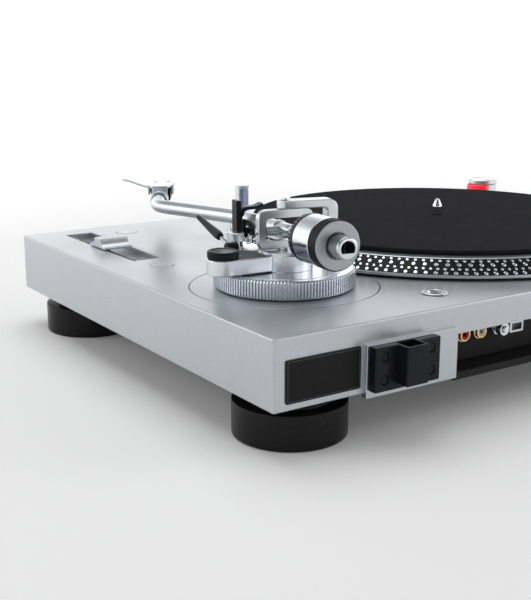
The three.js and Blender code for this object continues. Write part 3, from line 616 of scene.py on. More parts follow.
piece("usb_shell", usb_port(), at(USB_X, PANEL_Y, JACK_Z), "chassis", SOFT_METAL, ["usb_port"])
slider = together(box(-3, 3, -6, 2.4, -2.1, 2.1, 0.4), box(-10, 10, -7, -2.4, -4, 4, 0.3))
piece("preamp_slider", slider, at(SWITCH_X - 4, PANEL_Y, JACK_Z), "preamp_switch", BLACK,
    ["preamp_switch"])
jack = eased([(0, -11), (4.9, -11), (4.9, 0.3), (6.4, 0.3), (6.4, 1.6), (3.1, 1.6), (3.1, -8), (1.1, -8),
    (1.1, 0), (0, 0)], 0.25)
piece("dc_inlet", lathe(jack, 48), at(DC_X, PANEL_Y, JACK_Z) @ ALONG_Y, "chassis", BLACK, ["dc_jack"])

SCREW_ROWS = (37.7, 51.2)


def hinge_bracket():
    y0 = REAR + 3.3
    body = box(-24, 24, y0, REAR + 9.7, 31, HINGE_TOP - 0.2, 0.7, 0.9)
    socket = box(-8, 8, y0, REAR + HINGE_OUT, 34, HINGE_TOP - 0.2, 0.7, 0.9)
    body = combined(body, socket, "UNION")
    cutters = [block(rounded(12.8, HINGE_OUT - 7.1, 0.6, 0, REAR + 10.95), 37, HINGE_TOP + 2, 0.2)]
    for x in (-17, 17):
        for z in SCREW_ROWS:
            well = [(0, -1.2), (2.9, -1.2), (2.9, -0.3), (3.4, 0.3), (3.4, 4), (0, 4)]
            cutters.append(moved(lathe(well, 40), at(x, REAR + 9.7, z) @ ALONG_Y))
    return combined(body, together(*cutters))


def cross_screw(r, high):
    head = lathe(eased([(0, -0.9), (r, -0.9), (r, high * 0.4), (r * 0.55, high), (0, high)], 0.2), 32)
    slots = together(block(rounded(r * 1.3, r * 0.26, 0.05), high - 0.55, high + 2, 0.02),
        block(rounded(r * 0.26, r * 1.3, 0.05), high - 0.55, high + 2, 0.02))
    return combined(head, slots)


for side, s in (("right", 1), ("left", -1)):
    bracket = at(s * HINGE_X)
    piece(f"hinge_moulding_{side}", hinge_bracket(), bracket, "chassis", SATIN_BLACK,
        [f"hinge_bracket_{side}"])
    heads = [moved(cross_screw(2.7, 0.5), at(x, REAR + 9.0, z) @ ALONG_Y)
        for x in (-17, 17) for z in SCREW_ROWS]
    piece(f"hinge_screws_{side}", together(*heads), bracket, "chassis", BLACK)

plate = block(rounded(50.5, 24.6, 1.2), 0, 0.6, 0.15)
RATING = at(193, REAR + 0.3, 44.8) @ turn(-pi / 2, "X") @ turn(pi)
piece("label_panel", plate, RATING, "chassis", LABEL, ["label_plate"])
border = combined(block(rounded(48.7, 22.8, 0.8), 0.5, 0.66, 0.02),
    block(rounded(48.1, 22.2, 0.6), 0.3, 1, 0.02))
piece("label_border", border, RATING, "chassis", LABEL_LINE)

# ------------------------------------------------------------------ feet

for side, x in (("right", 190), ("left", -190)):
    for end, y in (("front", -132), ("rear", 140)):
        name = f"foot_{end}_{side}"
        profile = eased([(0, 0), (33, 0), (34, 1.2), (34, 21.6), (25, 21.6), (25, 23.2), (4, 23.2),
            (4, 36), (0, 36)], 0.7, 4)
        piece(f"{name}_body", lathe(profile, 144), at(x, y), name, FOOT_BLACK, [name])

# ------------------------------------------------------------------ platter

platter = eased([(3.9, 71.5), (14, 71.5), (14, 77.5), (152, 77.5), (159, 71.5), (166, 71.5),
    (166, BAND_BOTTOM), (BAND_TOP_R, PLATTER_TOP), (3.9, PLATTER_TOP)], 0.3, 3)
piece("platter_casting", lathe(platter, 288), SPIN, "platter", PLATTER_METAL, ["platter"])


def band_point(share, proud=0.0):
    """Radius and height on the rim band, share of the way down from its top, proud of its surface."""
    slope = Vector((PLATTER_R - BAND_TOP_R, BAND_BOTTOM - PLATTER_TOP)).normalized()
    p = Vector((BAND_TOP_R, PLATTER_TOP)).lerp(Vector((PLATTER_R, BAND_BOTTOM)), share)
    return p + Vector((-slope.y, slope.x)) * proud


def band_cover():
    low, high = 0.035, 0.975
    profile = [band_point(high, -0.25), band_point(high, 0.03), band_point(low, 0.03), band_point(low, -0.25)]
    return lathe([tuple(p) for p in profile], 288)


piece("platter_band", band_cover(), SPIN, "platter", BAND_BLACK)


def strobe_dots():
    bm = bmesh.new()
    rows = ((0.15, 187, 1.0), (0.37, 137, 1.42), (0.615, 219, 1.0), (0.845, 160, 1.36))
    tilt = atan2(PLATTER_R - BAND_TOP_R, PLATTER_TOP - BAND_BOTTOM)
    around = [2 * pi * k / 10 for k in range(10)]
    for share, count, r in rows:
        base = band_point(share, 0.03)
        for i in range(count):
            place = turn(2 * pi * i / count) @ at(base.x, 0, base.y) @ turn(pi / 2 - tilt, "Y")
            rim = [bm.verts.new(place @ Vector((r * cos(a), r * sin(a), 0))) for a in around]
            top = [bm.verts.new(place @ Vector((0.72 * r * cos(a), 0.72 * r * sin(a), 0.28)))
                for a in around]
            bm.faces.new(top)
            bm.faces.new(rim[::-1])
            for k in range(len(around)):
                j = (k + 1) % len(around)
                bm.faces.new((rim[k], rim[j], top[j], top[k]))
    return bm


piece("strobe_dots", strobe_dots(), SPIN, "platter", CHROME)
mat_profile = eased([(4.0, PLATTER_TOP + 0.3), (MAT_R, PLATTER_TOP + 0.3), (MAT_R, MAT_TOP),
    (4.0, MAT_TOP)], 1.1, 5)
mat = piece("slipmat_felt", lathe(mat_profile, 256), SPIN, "platter", FELT, ["slipmat"])
pin = eased([(0, 42), (3.6, 42), (3.6, 92.5), (1.6, 97.4), (1.1, 98.0), (0, 98.1)], 0.5)
piece("spindle_pin", lathe(pin, 48), SPIN, "platter", CHROME, ["spindle"])

# ------------------------------------------------------------------ deck controls


def pitch_tray():
    half_w, half_l = SLOT_WIDTH / 2, SLOT_LENGTH / 2
    tray = box(-half_w - 4, half_w + 4, -half_l - 4, half_l + 4, DECK - 6.5, DECK - 3.3, 0.2)
    well = block(rounded(SLOT_WIDTH, SLOT_LENGTH, 0.8), DECK - SLOT_DEPTH, DECK + 1, 0.15)
    slit = block(rounded(3.5, SLOT_LENGTH - 10, 0.4, 4.75), 50, DECK, 0.1)
    return combined(combined(tray, well), slit)


FADER = at(SLOT_X, SLOT_Y)
piece("fader_tray", pitch_tray(), FADER, "chassis", KEY, ["pitch_tray"])
# A black plate under the pitch slit: painted shade seen through the slit.
slit_shade = box(2.6, 6.9, -SLOT_LENGTH / 2 + 4.5, SLOT_LENGTH / 2 - 4.5, DECK - 8.6, DECK - 7.6, 0.1)
piece("fader_slit_shade", slit_shade, FADER, "chassis", PAINTED_SHADE_BLACK)
# A black band beside the slit: painted shadow of the gap. The silver scale ticks laid on it are real marks.
strip = box(6.3, 10.5, -SLOT_LENGTH / 2 + 0.6, SLOT_LENGTH / 2 - 0.6, DECK - 1.8, DECK - 0.8, 0.15)
piece("fader_gap_shade_strip", strip, FADER, "chassis", PAINTED_SHADE_BLACK)
notches = [box(6.9, 9.9 if i % 4 == 0 else 8.8, i * 3.3 - 0.3, i * 3.3 + 0.3, DECK - 0.85,
               DECK - 0.72, 0.02)
           for i in range(-16, 17)]
piece("fader_scale_ticks", together(*notches), FADER, "chassis", SOFT_METAL)
marks = []
for i in range(-8, 9):
    long = 4.2 if i % 4 == 0 else 2.6
    marks.append(box(-SLOT_WIDTH / 2 - 1.2 - long, -SLOT_WIDTH / 2 - 1.2, i * 5.5 - 0.16, i * 5.5 + 0.16,
        DECK - 0.05, DECK + 0.03, 0.01))
piece("fader_scale", together(*marks), FADER, "chassis", MARK_GREY)


def pitch_knob():
    right = curve([(12.5, 1.5), (6, 2.1), (5, 7.4)], 12)
    left = [(-y, z) for y, z in reversed(right)]
    outline = [(-12.5, 0.5), (12.5, 0.5)] + right + left
    return together(moved(block(shape(outline), -11.3, 11.3, 0.45), SIDEWAYS),
        box(2.6, 4.4, -4, 4, -12, 1, 0.2))


KNOB = at(SLOT_X + 1.2, -96, DECK)
piece("fader_knob", pitch_knob(), KNOB, "pitch_knob", KEY, ["pitch_knob"])
piece("fader_knob_line", box(-11.1, 11.1, -0.25, 0.25, 7.3, 7.42, 0.02), KNOB, "pitch_knob", MARK_GREY)

for node, spot in (("quartz_button", QUARTZ), ("pitch_range_button", PITCH_RANGE)):
    profile = eased([(0, -6), (8, -6), (8, 0), (6.9, 0), (6.6, -0.12), (0, -0.12)], 0.25)
    piece(f"{node}_cap", lathe(profile, 72), at(*spot, DECK + 0.2), node, KEY, [node])
piece("start_stop_key", block(rounded(34, 30, 1.6, n=8), -6, 1.2, 0.5, 4), at(*START, DECK),
    "start_stop_button", KEY, ["start_stop_button"])
for node, spot in (("speed_33_button", SPEED_33), ("speed_45_button", SPEED_45)):
    piece(f"{node}_key", block(rounded(16, 9, 1.1, n=8), -6, 0.8, 0.35, 4), at(*spot, DECK), node, KEY,
        [node])

WINDOW = at(*POWER) @ turn(atan2(SPINDLE[1] - POWER[1], SPINDLE[0] - POWER[0]) + WINDOW_TURN)
housing_side = [(0, DECK + 0.3), (13.1, DECK + 0.3), (13.1, POWER_SPLIT - 0.3), (0, POWER_SPLIT - 0.3)]
housing = combined(
    lathe(eased(housing_side, 0.3), 96),
    block(rounded(14.5, 2 * WINDOW_HALF, 0.3, 12.75), DECK + 2, POWER_SPLIT + 1, 0.1))
stub_side = [(0, DECK - 8), (POWER_R - 3.6, DECK - 8), (POWER_R - 3.6, DECK + 1), (0, DECK + 1)]
stub = lathe(eased(stub_side, 0.2), 64)
piece("strobe_shell", together(housing, stub), WINDOW, "chassis", TRIM, ["strobe_housing"])


def strobe_window():
    r, top = POWER_R + LENS_REACH, POWER_SPLIT - 0.5
    pod = lathe(eased([(0, DECK + 2.3), (r, DECK + 2.3), (r, top), (0, top)], 0.9, 4), 96)
    half = WINDOW_HALF - 0.3
    return combined(pod, block(rounded(14.2, 2 * half, 0.6, 12.9), DECK, POWER_SPLIT + 1, 0.2), "INTERSECT")


piece("strobe_window", strobe_window(), WINDOW, "chassis", RED_LENS, ["strobe_lens"])
cap = eased([(0, POWER_SPLIT), (POWER_R - 0.5, POWER_SPLIT), (POWER_R, POWER_SPLIT + 0.6),
    (POWER_R, POWER_TOP - 0.6), (POWER_R - 0.6, POWER_TOP), (POWER_R - 3.2, POWER_TOP),
    (POWER_R - 3.5, POWER_TOP - 0.3), (0, POWER_TOP - 0.3)], 0.3)
piece("power_cap", lathe(cap, 144), at(*POWER), "power_knob", TRIM, ["power_knob"])
piece("power_mark", box(-0.45, 0.45, 3, 11, POWER_TOP - 0.4, POWER_TOP - 0.2, 0.05), at(*POWER),
    "power_knob", MARK_GREY)

LAMP = at(*LIGHT) @ turn(atan2(SPINDLE[1] - LIGHT[1], SPINDLE[0] - LIGHT[0]))
lamp_post = combined(lathe(eased([(0, 56), (LIGHT_R, 56), (LIGHT_R, LIGHT_TOP - 0.4),
    (LIGHT_R - 0.4, LIGHT_TOP), (0, LIGHT_TOP)], 0.3), 96),
    block(rounded(9.1, 20, 0.4, 5.5), 78, LIGHT_TOP - 3, 0.3))
piece("lamp_post", lamp_post, LAMP, "target_light", TRIM, ["target_light"])
piece("lamp_lens", lathe(eased([(0, 78.3), (2.5, 78.3), (2.5, 93.5), (0, 93.5)], 0.7, 4), 48),
    LAMP @ at(3.7), "target_light", BLUE_LENS, ["target_light_lens"])

well = eased([(4.2, DECK - 24), (HOLDER_R, DECK - 24), (HOLDER_R, DECK + 0.3),
    (HOLDER_R + 0.9, DECK + 0.3), (HOLDER_R + 0.4, DECK + 0.9), (5.4, DECK + 0.9), (4.2, DECK - 0.6)],
    0.25)
piece("holder_socket", lathe(well, 72), at(*HOLDER), "chassis", SOFT_METAL, ["headshell_holder"])
puck = eased([(3.7, DECK - 7.7), (ADAPTER_R, DECK - 7.7), (ADAPTER_R, DECK + 0.6),
    (ADAPTER_R - 2.5, DECK + 2.2), (9, DECK + 2.2), (8.4, DECK + 1.7), (3.7, DECK + 1.7)], 0.3)
piece("record_adapter", lathe(puck, 120), at(*ADAPTER), "adapter_45", SOFT_METAL, ["adapter_45"])

# ------------------------------------------------------------------ tonearm base

base_plate = eased([(21, DECK - 18), (26, DECK - 18), (26, DECK - 5), (60, DECK - 5), (60, DECK),
    (21, DECK)], 0.35)
piece("arm_base_disc", lathe(base_plate, 200), BASE, "chassis", CASE, ["arm_base_plate"])
ring = [(RING_INNER_R, 70.4), (43.6, 70.4), (43.9, 70.7), (44.7, 71.2), (45, 71.7), (45, 80.6),
    (44.75, 81.3), (44.1, 81.8), (43.2, 82), (39.6, 82), (RING_INNER_R, 81.6)]
piece("height_ring_fluted", lathe(ring, ribs=136, depth=1.5, ribbed=lambda r, z: r > 43.95, sharp=0.5),
    BASE, "height_ring", RING_METAL, ["height_ring"], 26)

DIAL = (44.5, -1.3, 9.7)
CUE_HUB = (30.3, -14.3, 95.4)
LIFT_R, LIFT_ANGLE = 40, radians(-104)
REST_U, REST_V, REST_ARM_TOP = 51, 9.5, 88.5
lift_x, lift_y = LIFT_R * cos(LIFT_ANGLE), LIFT_R * sin(LIFT_ANGLE)
rest_spot = turn(ARM_YAW) @ Vector((50, REST_V, 0))


def arm_base():
    core = lathe(eased([(12, 54), (20, 54), (20, 73), (36.7, 73), (36.7, 81.7), (18, 81.7),
        (18, BASE_TOP), (16.8, BASE_TOP), (16.8, 93.3), (5, 93.3), (5, 80), (12, 80)], 0.45, 4), 144)
    boss = block(stadium(18, 0, DIAL[0], DIAL[1], 10, 28), 82.4, BASE_TOP, 0.6, 4)
    reach = block(stadium(0, -12, rest_spot.x, rest_spot.y, 8), 82.4, REST_ARM_TOP, 0.5)
    cue = block(stadium(20, 0, CUE_HUB[0], CUE_HUB[1], 7), 82.4, BASE_TOP - 0.05, 0.5)
    bore = lathe([(0, 78), (5.0, 78), (5.0, 96), (0, 96)], 48)
    whole = combined(combined(combined(core, boss, "UNION"), reach, "UNION"), cue, "UNION")
    lift_bore = moved(lathe([(0, 70), (2.6, 70), (2.6, 100), (0, 100)], 32), at(lift_x, lift_y))
    return combined(whole, together(bore, lift_bore))


piece("arm_base_casting", arm_base(), BASE, "arm_base", BASE_METAL, ["arm_base"])
cover = combined(block(stadium(18, 0, DIAL[0], DIAL[1], 9.2, 24), BASE_TOP - 0.1, BASE_TOP + 0.18, 0.08),
    block(stadium(18, -4, CUE_HUB[0], CUE_HUB[1], 6.2), BASE_TOP - 0.2, BASE_TOP + 0.17, 0.05), "UNION")
cover = combined(cover, lathe([(0, 90), (17.4, 90), (17.4, 94), (0, 94)], 96))
piece("arm_base_cover", cover, BASE, "arm_base", SLATE)
piece("dial_index", box(31.5, 34.3, -1.7, -0.9, BASE_TOP + 0.1, BASE_TOP + 0.25, 0.05), BASE, "arm_base",
    MARK_WHITE)
knob = eased([(0, 92.3), (9.3, 92.3), (9.7, 92.9), (9.7, 96.3), (9.1, 97), (7.7, 97), (7.2, 96.6),
    (0, 96.4)], 0.3)
piece("anti_skate_knob", lathe(knob, ribs=44, depth=0.22, ribbed=lambda r, z: r > 9.35),
    BASE @ at(DIAL[0], DIAL[1]), "anti_skate_dial", SATIN_BLACK, ["anti_skate_dial"])

LEVER = BASE @ at(*CUE_HUB) @ turn(-radians(17.8), "X")
FORWARD = LEVER @ turn(-pi / 2) @ ALONG_X
hub = moved(lathe(eased([(0, -4), (2.9, -4), (2.9, 4), (0, 4)], 0.5), 48), ALONG_X)
grip = lathe(eased([(0, 13), (1.5, 13), (2.5, 14), (2.75, 15.5), (2.9, 18), (2.5, 26), (1.5, 42.6),
    (1.1, 43.6), (0, 43.6)], 0.35), ribs=8, depth=0.3, ribbed=lambda r, z: 15 < z < 42 and r > 1.2,
    sharp=1.0)
piece("cue_lever_grip", together(moved(grip, turn(-pi / 2) @ ALONG_X), hub), LEVER, "cue_lever",
    SATIN_BLACK, ["cue_lever"])
stem = [(0, 1.5), (1.0, 1.5)]
for k in range(16):
    stem += [(1.12, 2.2 + 0.68 * k), (0.92, 2.54 + 0.68 * k)]
stem += [(1.0, 13.2), (0, 13.2)]
piece("cue_lever_stem", lathe(stem, 32), FORWARD, "cue_lever", CHROME)


def cue_bar():
    a0, a1, n = radians(-150), radians(-92), 48

    def outline(inset=0.0):
        trim = inset / LIFT_R
        angles = [a0 + trim + (a1 - a0 - 2 * trim) * k / n for k in range(n + 1)]
        outer, inner = LIFT_R + 2.5 - inset, LIFT_R - 2.5 + inset
        return [(outer * cos(a), outer * sin(a)) for a in angles] + \
               [(inner * cos(a), inner * sin(a)) for a in reversed(angles)]
    return together(block(outline, 95.4, 98.2, 0.6), moved(disc(2.2, 84, 96), at(lift_x, lift_y)))


piece("cue_bar", cue_bar(), BASE, "cue_lift", BLACK, ["cue_lift_bar"])

# ------------------------------------------------------------------ arm rest and clamp

rest_z = ARM_Z - ARM_SLOPE * REST_U
rest_floor = rest_z - TUBE_R - 0.4
HINGE_V = 10.2


def arm_rest():
    cradle = [(-7, rest_floor - 3), (7.4, rest_floor - 3), (7.4, rest_z + 1), (5.4, rest_z + 1),
        (5.4, rest_floor + 1.2), (4.2, rest_floor), (-7, rest_floor)]
    return together(
        moved(block(shape(cradle), REST_U - 4, REST_U + 4, 0.35), SIDEWAYS),
        box(REST_U - 4, REST_U + 4, 4, 14, rest_floor - 5.5, rest_floor - 2.9, 0.3),
        moved(disc(3, REST_ARM_TOP + 0.3, rest_floor - 3, 0.2, 40), at(REST_U, REST_V)))


piece("arm_rest_cradle", arm_rest(), ARM, "arm_base", BLACK, ["arm_rest"])


def arm_clamp():
    top = rest_z + TUBE_R + 2.7
    hook = [(9, rest_z + 1.5)]
    hook += curve([(9, rest_z + 6), (9, top + 2.2), (3, top + 2.2)])
    hook += [(-2.5, top + 2.2), (-7, top + 3.8), (-7.6, top + 2.4), (-3, top)]
    hook += curve([(2.6, top), (6.4, top), (6.4, rest_z + 5)])
    hook += [(8.6, rest_z + 1.5)]
    tab = block(rounded(3.4, 21.5, 0.8, HINGE_V + 0.5, rest_z + 3.4), REST_U - 4.1, REST_U + 4.1, 0.4)
    ridges = [box(REST_U - 3.2, REST_U + 3.2, HINGE_V + 2.1, HINGE_V + 2.3,
                  rest_z + z, rest_z + z + 0.9, 0.1)
              for z in (6, 8, 10, 12)]
    return together(moved(block(shape(hook), REST_U - 3.6, REST_U + 3.6, 0.35), SIDEWAYS),
        moved(tab, SIDEWAYS), *ridges)


piece("arm_clamp_tab", arm_clamp(), ARM, "arm_clamp", SATIN_BLACK, ["arm_clamp"])

# ------------------------------------------------------------------ gimbal

RING_Z, RING_DEEP, RING_MEMBER = 106.3, 4.8, 5.4
BRACKET = BASE @ turn(atan2(0.292, -0.956))


def bracket():
    z0, z1, reach, leg = 119.2, 124.2, 33.8, 7
    side = [(0, z0)] + curve([(reach - leg - 2, z0), (reach - leg, z0), (reach - leg, z0 - 3)])
    side += [(reach - leg, RING_TOP), (reach, RING_TOP)]
    side += curve([(reach, z1 - 7), (reach, z1), (reach - 7, z1)]) + [(0, z1)]
    arm = moved(block(shape(side), -5, 5, 0.7, 4), turn(pi / 2, "X"))
    end = disc(5, z0, z1, 0.7)
    whole = combined(arm, end, "UNION")
    return combined(whole, lathe([(0, 110), (2.3, 110), (2.3, 130), (0, 130)], 40))


piece("gimbal_bridge", bracket(), BRACKET, "arm_base", GIMBAL_METAL, ["gimbal_bracket"])
screw = combined(
    lathe(eased([(0, 118.8), (1, 118.8), (2, 120), (2, 124.5), (3.4, 124.5), (3.4, 125.8), (1.8, 125.8),
        (1.8, 126.2),
                 (0, 126.2)], 0.2), 48),
    block(rounded(8, 0.7, 0.1), 125.5, 128, 0.05))
piece("pivot_screw_head", screw, BASE @ turn(0.5), "arm_base", CHROME, ["pivot_screw"])


def gimbal_ring():
    frame_outline = rounded(38, 25, 5.5, 0, RING_Z, 10)
    opening = block(rounded(38 - 2 * RING_MEMBER, 25 - 2 * RING_MEMBER, 2, 0, RING_Z, 8), -5, 5, 0.1)
    body = combined(block(frame_outline, -RING_DEEP / 2, RING_DEEP / 2, 0.7, 4), opening)
    return together(moved(body, SIDEWAYS), disc(4.6, 84, RING_Z - 11.5, 0.3))


piece("gimbal_yoke", gimbal_ring(), ARM, "gimbal", GIMBAL_METAL, ["gimbal_ring"])
for side, s in (("right", 1), ("left", -1)):
    cap = lathe(eased([(0, -0.2), (2.2, -0.2), (2.2, 0.3), (1.5, 0.9), (0, 0.9)], 0.15), 40)
    if s < 0:
        moved(cap, turn(pi, "X"))
    place = ARM @ at(0, s * 18.9, RING_Z - 0.8) @ ALONG_Y
    piece(f"bearing_cap_{side}", cap, place, "gimbal", SOFT_METAL)

# ------------------------------------------------------------------ tonearm


def arm_line():
    rise = CORNER[1] / (CORNER[0] - BEND_U)
    fall = tan(HEAD_YAW)
    p = [(4, 0, 0), (BEND_U - 7, 0, 0), (BEND_U, 0, 0), (BEND_U + 7, 7 * rise, 0),
        (CORNER[0] - 13, CORNER[1] - 13 * rise, 0), (*CORNER, 0),
        (CORNER[0] + 13, CORNER[1] + 13 * fall, 0), (*COLLAR, 0)]
    first = curve([p[1], p[2], p[3]], 16)
    second = curve([p[4], p[5], p[6]], 24)
    return [p[0]] + first + second + [p[7]]


piece("arm_tube_bent", sweep(arm_line(), lambda share, a: (TUBE_R * cos(a), TUBE_R * sin(a)), 48), TILT,
    "tonearm", ARM_METAL, ["arm_tube"])
piece("arm_tube_socket", moved(lathe(eased([(0, 6), (5.5, 6), (5.5, 9), (4.95, 9.6), (0, 9.6)], 0.2), 64),
    ALONG_X), TILT, "tonearm", SHAFT_METAL)

DIAL_W, WEIGHT_W, STUB_END, BORE_R = (35, 40.4), (40.8, 69.7), 81.5, 7.1


def arm_shaft():
    profile = eased([(0, -7.7), (4.6, -7.7), (4.6, 13), (6, 17.5), (6, 34), (6.75, 34),
        (6.75, STUB_END - 0.8), (6, STUB_END), (0, STUB_END)], 0.35)
    shaft = lathe(profile, 96)
    # The bore is round with a flat along its underside.
    n = 40
    flat = -2.6
    section = []
    for k in range(n):
        a = 2 * pi * k / n
        x, y = 4.6 * cos(a), 4.6 * sin(a)
        section.append((max(x, flat), y))
    bore = filled([[(x, y, z) for x, y in section] for z in (STUB_END - 12, STUB_END + 2)])
    cross = moved(disc(3, -13.2, 13.2, 0.2, 40), ALONG_Y)
    return combined(shaft, bore), cross


shaft, cross = arm_shaft()
piece("arm_rear_shaft", together(shaft, moved(cross, BEHIND.inverted() @ TILT)), BEHIND, "tonearm",
    SHAFT_METAL, ["arm_shaft"])
# A black disc at the bottom of the shaft's bore: painted shade inside the bore.
bore_shade_disc = lathe([(0, STUB_END - 11.9), (4.3, STUB_END - 11.9), (4.3, STUB_END - 11.5),
    (0, STUB_END - 11.5)], 40)
piece("shaft_bore_shade", bore_shade_disc, BEHIND, "tonearm", PAINTED_SHADE_BLACK)
dial = eased([(BORE_R, DIAL_W[0]), (14.3, DIAL_W[0]), (15, DIAL_W[0] + 0.6), (15, DIAL_W[1]),
    (BORE_R, DIAL_W[1])], 0.3)
piece("pressure_dial_ring", lathe(dial, 144), BEHIND, "pressure_dial", SATIN_BLACK, ["pressure_dial"])
ticks = []
for k in range(40):
    tick = box(-0.12, 0.12, 0, 0.12, 0, 2.6 if k % 5 == 0 else 1.5, 0.02)
    ticks.append(moved(tick, turn(2 * pi * k / 40) @ at(0, 14.93, DIAL_W[0] + 1.2)))
piece("pressure_dial_ticks", together(*ticks), BEHIND, "pressure_dial", MARK_WHITE)
barrel = eased([(BORE_R, WEIGHT_W[0]), (14.7, WEIGHT_W[0]), (15, WEIGHT_W[0] + 0.4), (15, 60.0),
    (14.6, 60.3), (BORE_R, 60.3)], 0.2)
band = eased([(BORE_R, 60.4), (14.7, 60.4), (15, 60.7), (15, 68.9), (14.7, 69.2), (BORE_R, 69.2)], 0.15)
face = eased([(BORE_R, 69.0), (14.4, 69.0), (14.5, 69.4), (14.1, 69.7), (8.2, 69.7), (7.8, 69.2),
    (BORE_R, 69.2)], 0.12)
piece("weight_barrel", lathe(barrel, 144), BEHIND, "counterweight", WEIGHT_METAL, ["counterweight"])
piece("weight_grip", lathe(band, ribs=110, depth=0.35, ribbed=lambda r, z: r > 14.85), BEHIND,
    "counterweight", BLACK)
piece("weight_face", lathe(face, 144), BEHIND, "counterweight", WEIGHT_FACE)

# ------------------------------------------------------------------ headshell

SHELL_START, SHELL_END, SHELL_TOP = 7.5, 51, 9.4
collar = eased([(5.2, -7), (6.6, -7), (7.1, -5.6), (7.1, 5.6), (6.5, 6.4), (5.2, 6.4)], 0.25)
piece("collar_nut", moved(lathe(collar, ribs=48, depth=0.28, ribbed=lambda r, z: r > 6.95), ALONG_X),
    HEAD, "headshell_collar", SOFT_METAL, ["headshell_collar"])


def headshell():
    plan = [(SHELL_START, -6.2), (16, -8.0), (22, -10.2), (SHELL_END - 3, -10.2), (SHELL_END, -7.5),
        (SHELL_END, 7.5), (SHELL_END - 3, 10.2), (22, 10.2), (16, 8.0), (SHELL_START, 6.2)]
    roof = block(shape(plan), SHELL_TOP - 2.2, SHELL_TOP, 0.6, 4)
    slots = together(*[block(rounded(15, 2.6, 1.25, 35, y), 0, 14, 0.05) for y in (-5.2, 5.2)])
    roof = combined(roof, slots)
    neck = together(moved(lathe(eased([(0, 0.4), (4.7, 0.4), (4.7, 12), (0, 12)], 0.3), 48), ALONG_X),
        box(SHELL_START, 14, -6, 6, -3, SHELL_TOP - 0.5, 0.6))
    sides = [box(21, SHELL_END - 3.5, s * 9.4 - 0.8, s * 9.4 + 0.8, 1.2, SHELL_TOP - 0.4, 0.4)
             for s in (-1, 1)]
    return together(roof, neck, *sides)


piece("headshell_body", headshell(), HEAD, "tonearm", ARM_METAL, ["headshell"])
screws = together(*[moved(cross_screw(2.1, 0.9), at(33, y, SHELL_TOP + 0.3 - 0.9)) for y in (-5.2, 5.2)])
piece("cartridge_screws", screws, HEAD, "tonearm", CHROME)


def finger_lift():
    p = [Vector(q) for q in ((38, 10.2, 5.6), (39, 17, 6.6), (41, 25, 11), (43, 32, 11.5))]
    line = []
    for k in range(33):
        t = k / 32
        line.append(p[0] * (1 - t) ** 3 + p[1] * 3 * t * (1 - t) ** 2
            + p[2] * 3 * t * t * (1 - t) + p[3] * t ** 3)

    def section(share, a):
        wide = 1.9 * sqrt(max(0.02, 1 - max(0.0, share - 0.93) / 0.075)) * (1 - 0.25 * share)
        return wide * cos(a), 1.0 * min(1.0, wide) * sin(a)
    return sweep(line, section, 24)


piece("finger_lift_blade", finger_lift(), HEAD, "tonearm", ARM_METAL, ["finger_lift"])
cart = together(box(20, 47, -7.6, 7.6, -3.4, 6.9, 0.5), box(24, 44, -5.4, 5.4, -7, -3, 0.5))
piece("cartridge_body", cart, HEAD, "tonearm", BLACK, ["cartridge"])
needle = together(box(30, 46, -4, 4, -9, -7.3, 0.4), moved(lathe([(0, -10.1), (0.12, -10.1), (0.5, -8.5),
    (0, -8.5)], 24), at(40.8)))
piece("stylus_guard", needle, HEAD, "tonearm", SATIN_BLACK, ["stylus"])

# ------------------------------------------------------------------ small parts on the arm base

knurled = eased([(0, 84.6), (5, 84.6), (5, 88.4), (3.2, 88.9), (3.2, 92.6), (6.0, 93.2), (6.0, 98.2),
    (5.4, 98.8), (0, 98.8)], 0.3)
piece("lift_height_disc", lathe(knurled, ribs=36, depth=0.2, ribbed=lambda r, z: r > 5.7),
    BASE @ at(11.5, -40.3), "arm_base", SOFT_METAL)


def coil(turns, r, wire, length, n=14):
    steps = turns * n
    line = [(r * cos(2 * pi * k / n), r * sin(2 * pi * k / n), length * k / steps) for k in range(steps + 1)]
    return sweep(line, lambda share, a: (wire * cos(a), wire * sin(a)), 8)


piece("clamp_spring", coil(5, 1.7, 0.32, 5.2), ARM @ at(36, 8.4, rest_floor - 7.5), "arm_base", CHROME)

# ------------------------------------------------------------------ stage

pale = Look("pale_floor")
pale.colour(pale.noise(3, 2), (0.90, 0.90, 0.90), (0.92, 0.92, 0.92))
pale.rough(pale.noise(5, 2), 0.85, 0.95)
pale.shader.inputs["Emission Color"].default_value = (1, 1, 1, 1)
away = pale.nodes.new("ShaderNodeVectorMath")
away.operation = "LENGTH"
pale.links.new(pale.place, away.inputs[0])
far_glow = pale.spread(away.outputs["Value"], 0.05, 0.8, 0.5, 2.0)
pale.links.new(far_glow, pale.shader.inputs["Emission Strength"])
ground = bpy.data.meshes.new("floor")
ground.from_pydata([(-6, -6, 0), (6, -6, 0), (6, 6, 0), (-6, 6, 0)], [], [(0, 1, 2, 3)])
ground.materials.append(pale.material)
floor_object = bpy.data.objects.new("floor", ground)
bpy.context.scene.collection.objects.link(floor_object)

bpy.context.scene.view_settings.view_transform = "Standard"
world = bpy.data.worlds.new("studio")
bpy.context.scene.world = world
world.use_nodes = True


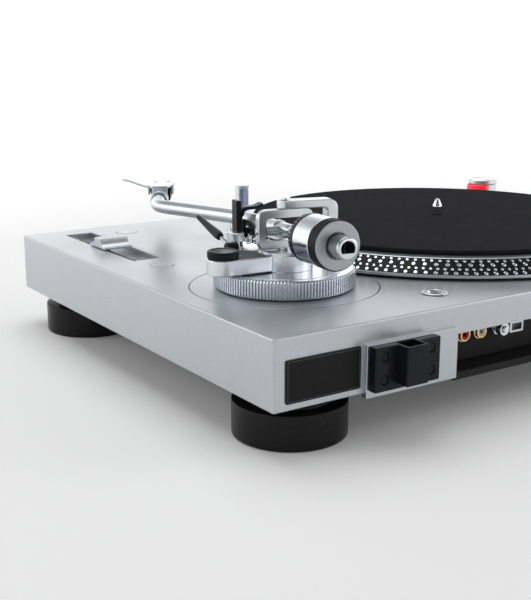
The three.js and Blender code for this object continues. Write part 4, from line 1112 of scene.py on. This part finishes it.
def studio(high=0.3, low=1.85, dark_side=(0.55, 0.83, 0.0), dark=0.3):
    """Bright near the floor, dim overhead, and dimmer again on one side of the room."""
    nodes, links = world.node_tree.nodes, world.node_tree.links
    sky = nodes["Background"]
    sky.inputs["Color"].default_value = (1.0, 1.0, 1.0, 1)
    direction = nodes.new("ShaderNodeTexCoord").outputs["Generated"]
    split = nodes.new("ShaderNodeSeparateXYZ")
    links.new(direction, split.inputs["Vector"])
    rise = nodes.new("ShaderNodeMapRange")
    rise.interpolation_type = "SMOOTHSTEP"
    for key, value in (("From Min", 0.12), ("From Max", 0.55), ("To Min", low), ("To Max", high)):
        rise.inputs[key].default_value = value
    links.new(split.outputs["Z"], rise.inputs["Value"])
    facing = nodes.new("ShaderNodeVectorMath")
    facing.operation = "DOT_PRODUCT"
    facing.inputs[1].default_value = dark_side
    links.new(direction, facing.inputs[0])
    shade = nodes.new("ShaderNodeMapRange")
    shade.interpolation_type = "SMOOTHSTEP"
    for key, value in (("From Min", 0.55), ("From Max", 0.9), ("To Min", 1.0), ("To Max", dark)):
        shade.inputs[key].default_value = value
    links.new(facing.outputs["Value"], shade.inputs["Value"])
    product = nodes.new("ShaderNodeMath")
    product.operation = "MULTIPLY"
    links.new(rise.outputs["Result"], product.inputs[0])
    links.new(shade.outputs["Result"], product.inputs[1])
    links.new(product.outputs["Value"], sky.inputs["Strength"])


studio()


def softbox(name, spot, target, size, power, size_y=None):
    data = bpy.data.lights.new(name, "AREA")
    data.shape = "RECTANGLE"
    data.size = size
    data.size_y = size_y or size
    data.energy = power
    o = bpy.data.objects.new(name, data)
    bpy.context.scene.collection.objects.link(o)
    o.location = spot
    o.rotation_euler = (Vector(target) - Vector(spot)).to_track_quat("-Z", "Y").to_euler()


softbox("overhead", (0.0, -0.5, 1.7), (0.05, 0, 0), 1.5, 14)
softbox("side", (1.5, -0.9, 0.8), (0.1, 0, 0.05), 0.9, 5)
softbox("back", (-1.3, 0.9, 0.9), (0.1, 0, 0.05), 0.8, 4)

camera = bpy.data.cameras.new("camera")
camera.lens = 63.41
camera.sensor_width = 36
eye = bpy.data.objects.new("camera", camera)
bpy.context.scene.collection.objects.link(eye)
forward = Vector((-0.53794, -0.80645, -0.24546))
right = Vector((-0.83193, 0.55487, 0.00021))
above = right.cross(forward)
eye.matrix_world = Matrix.Translation((0.52227, 0.60385, 0.22501)) @ Matrix((right, above,
    -forward)).transposed().to_4x4()
bpy.context.scene.camera = eye
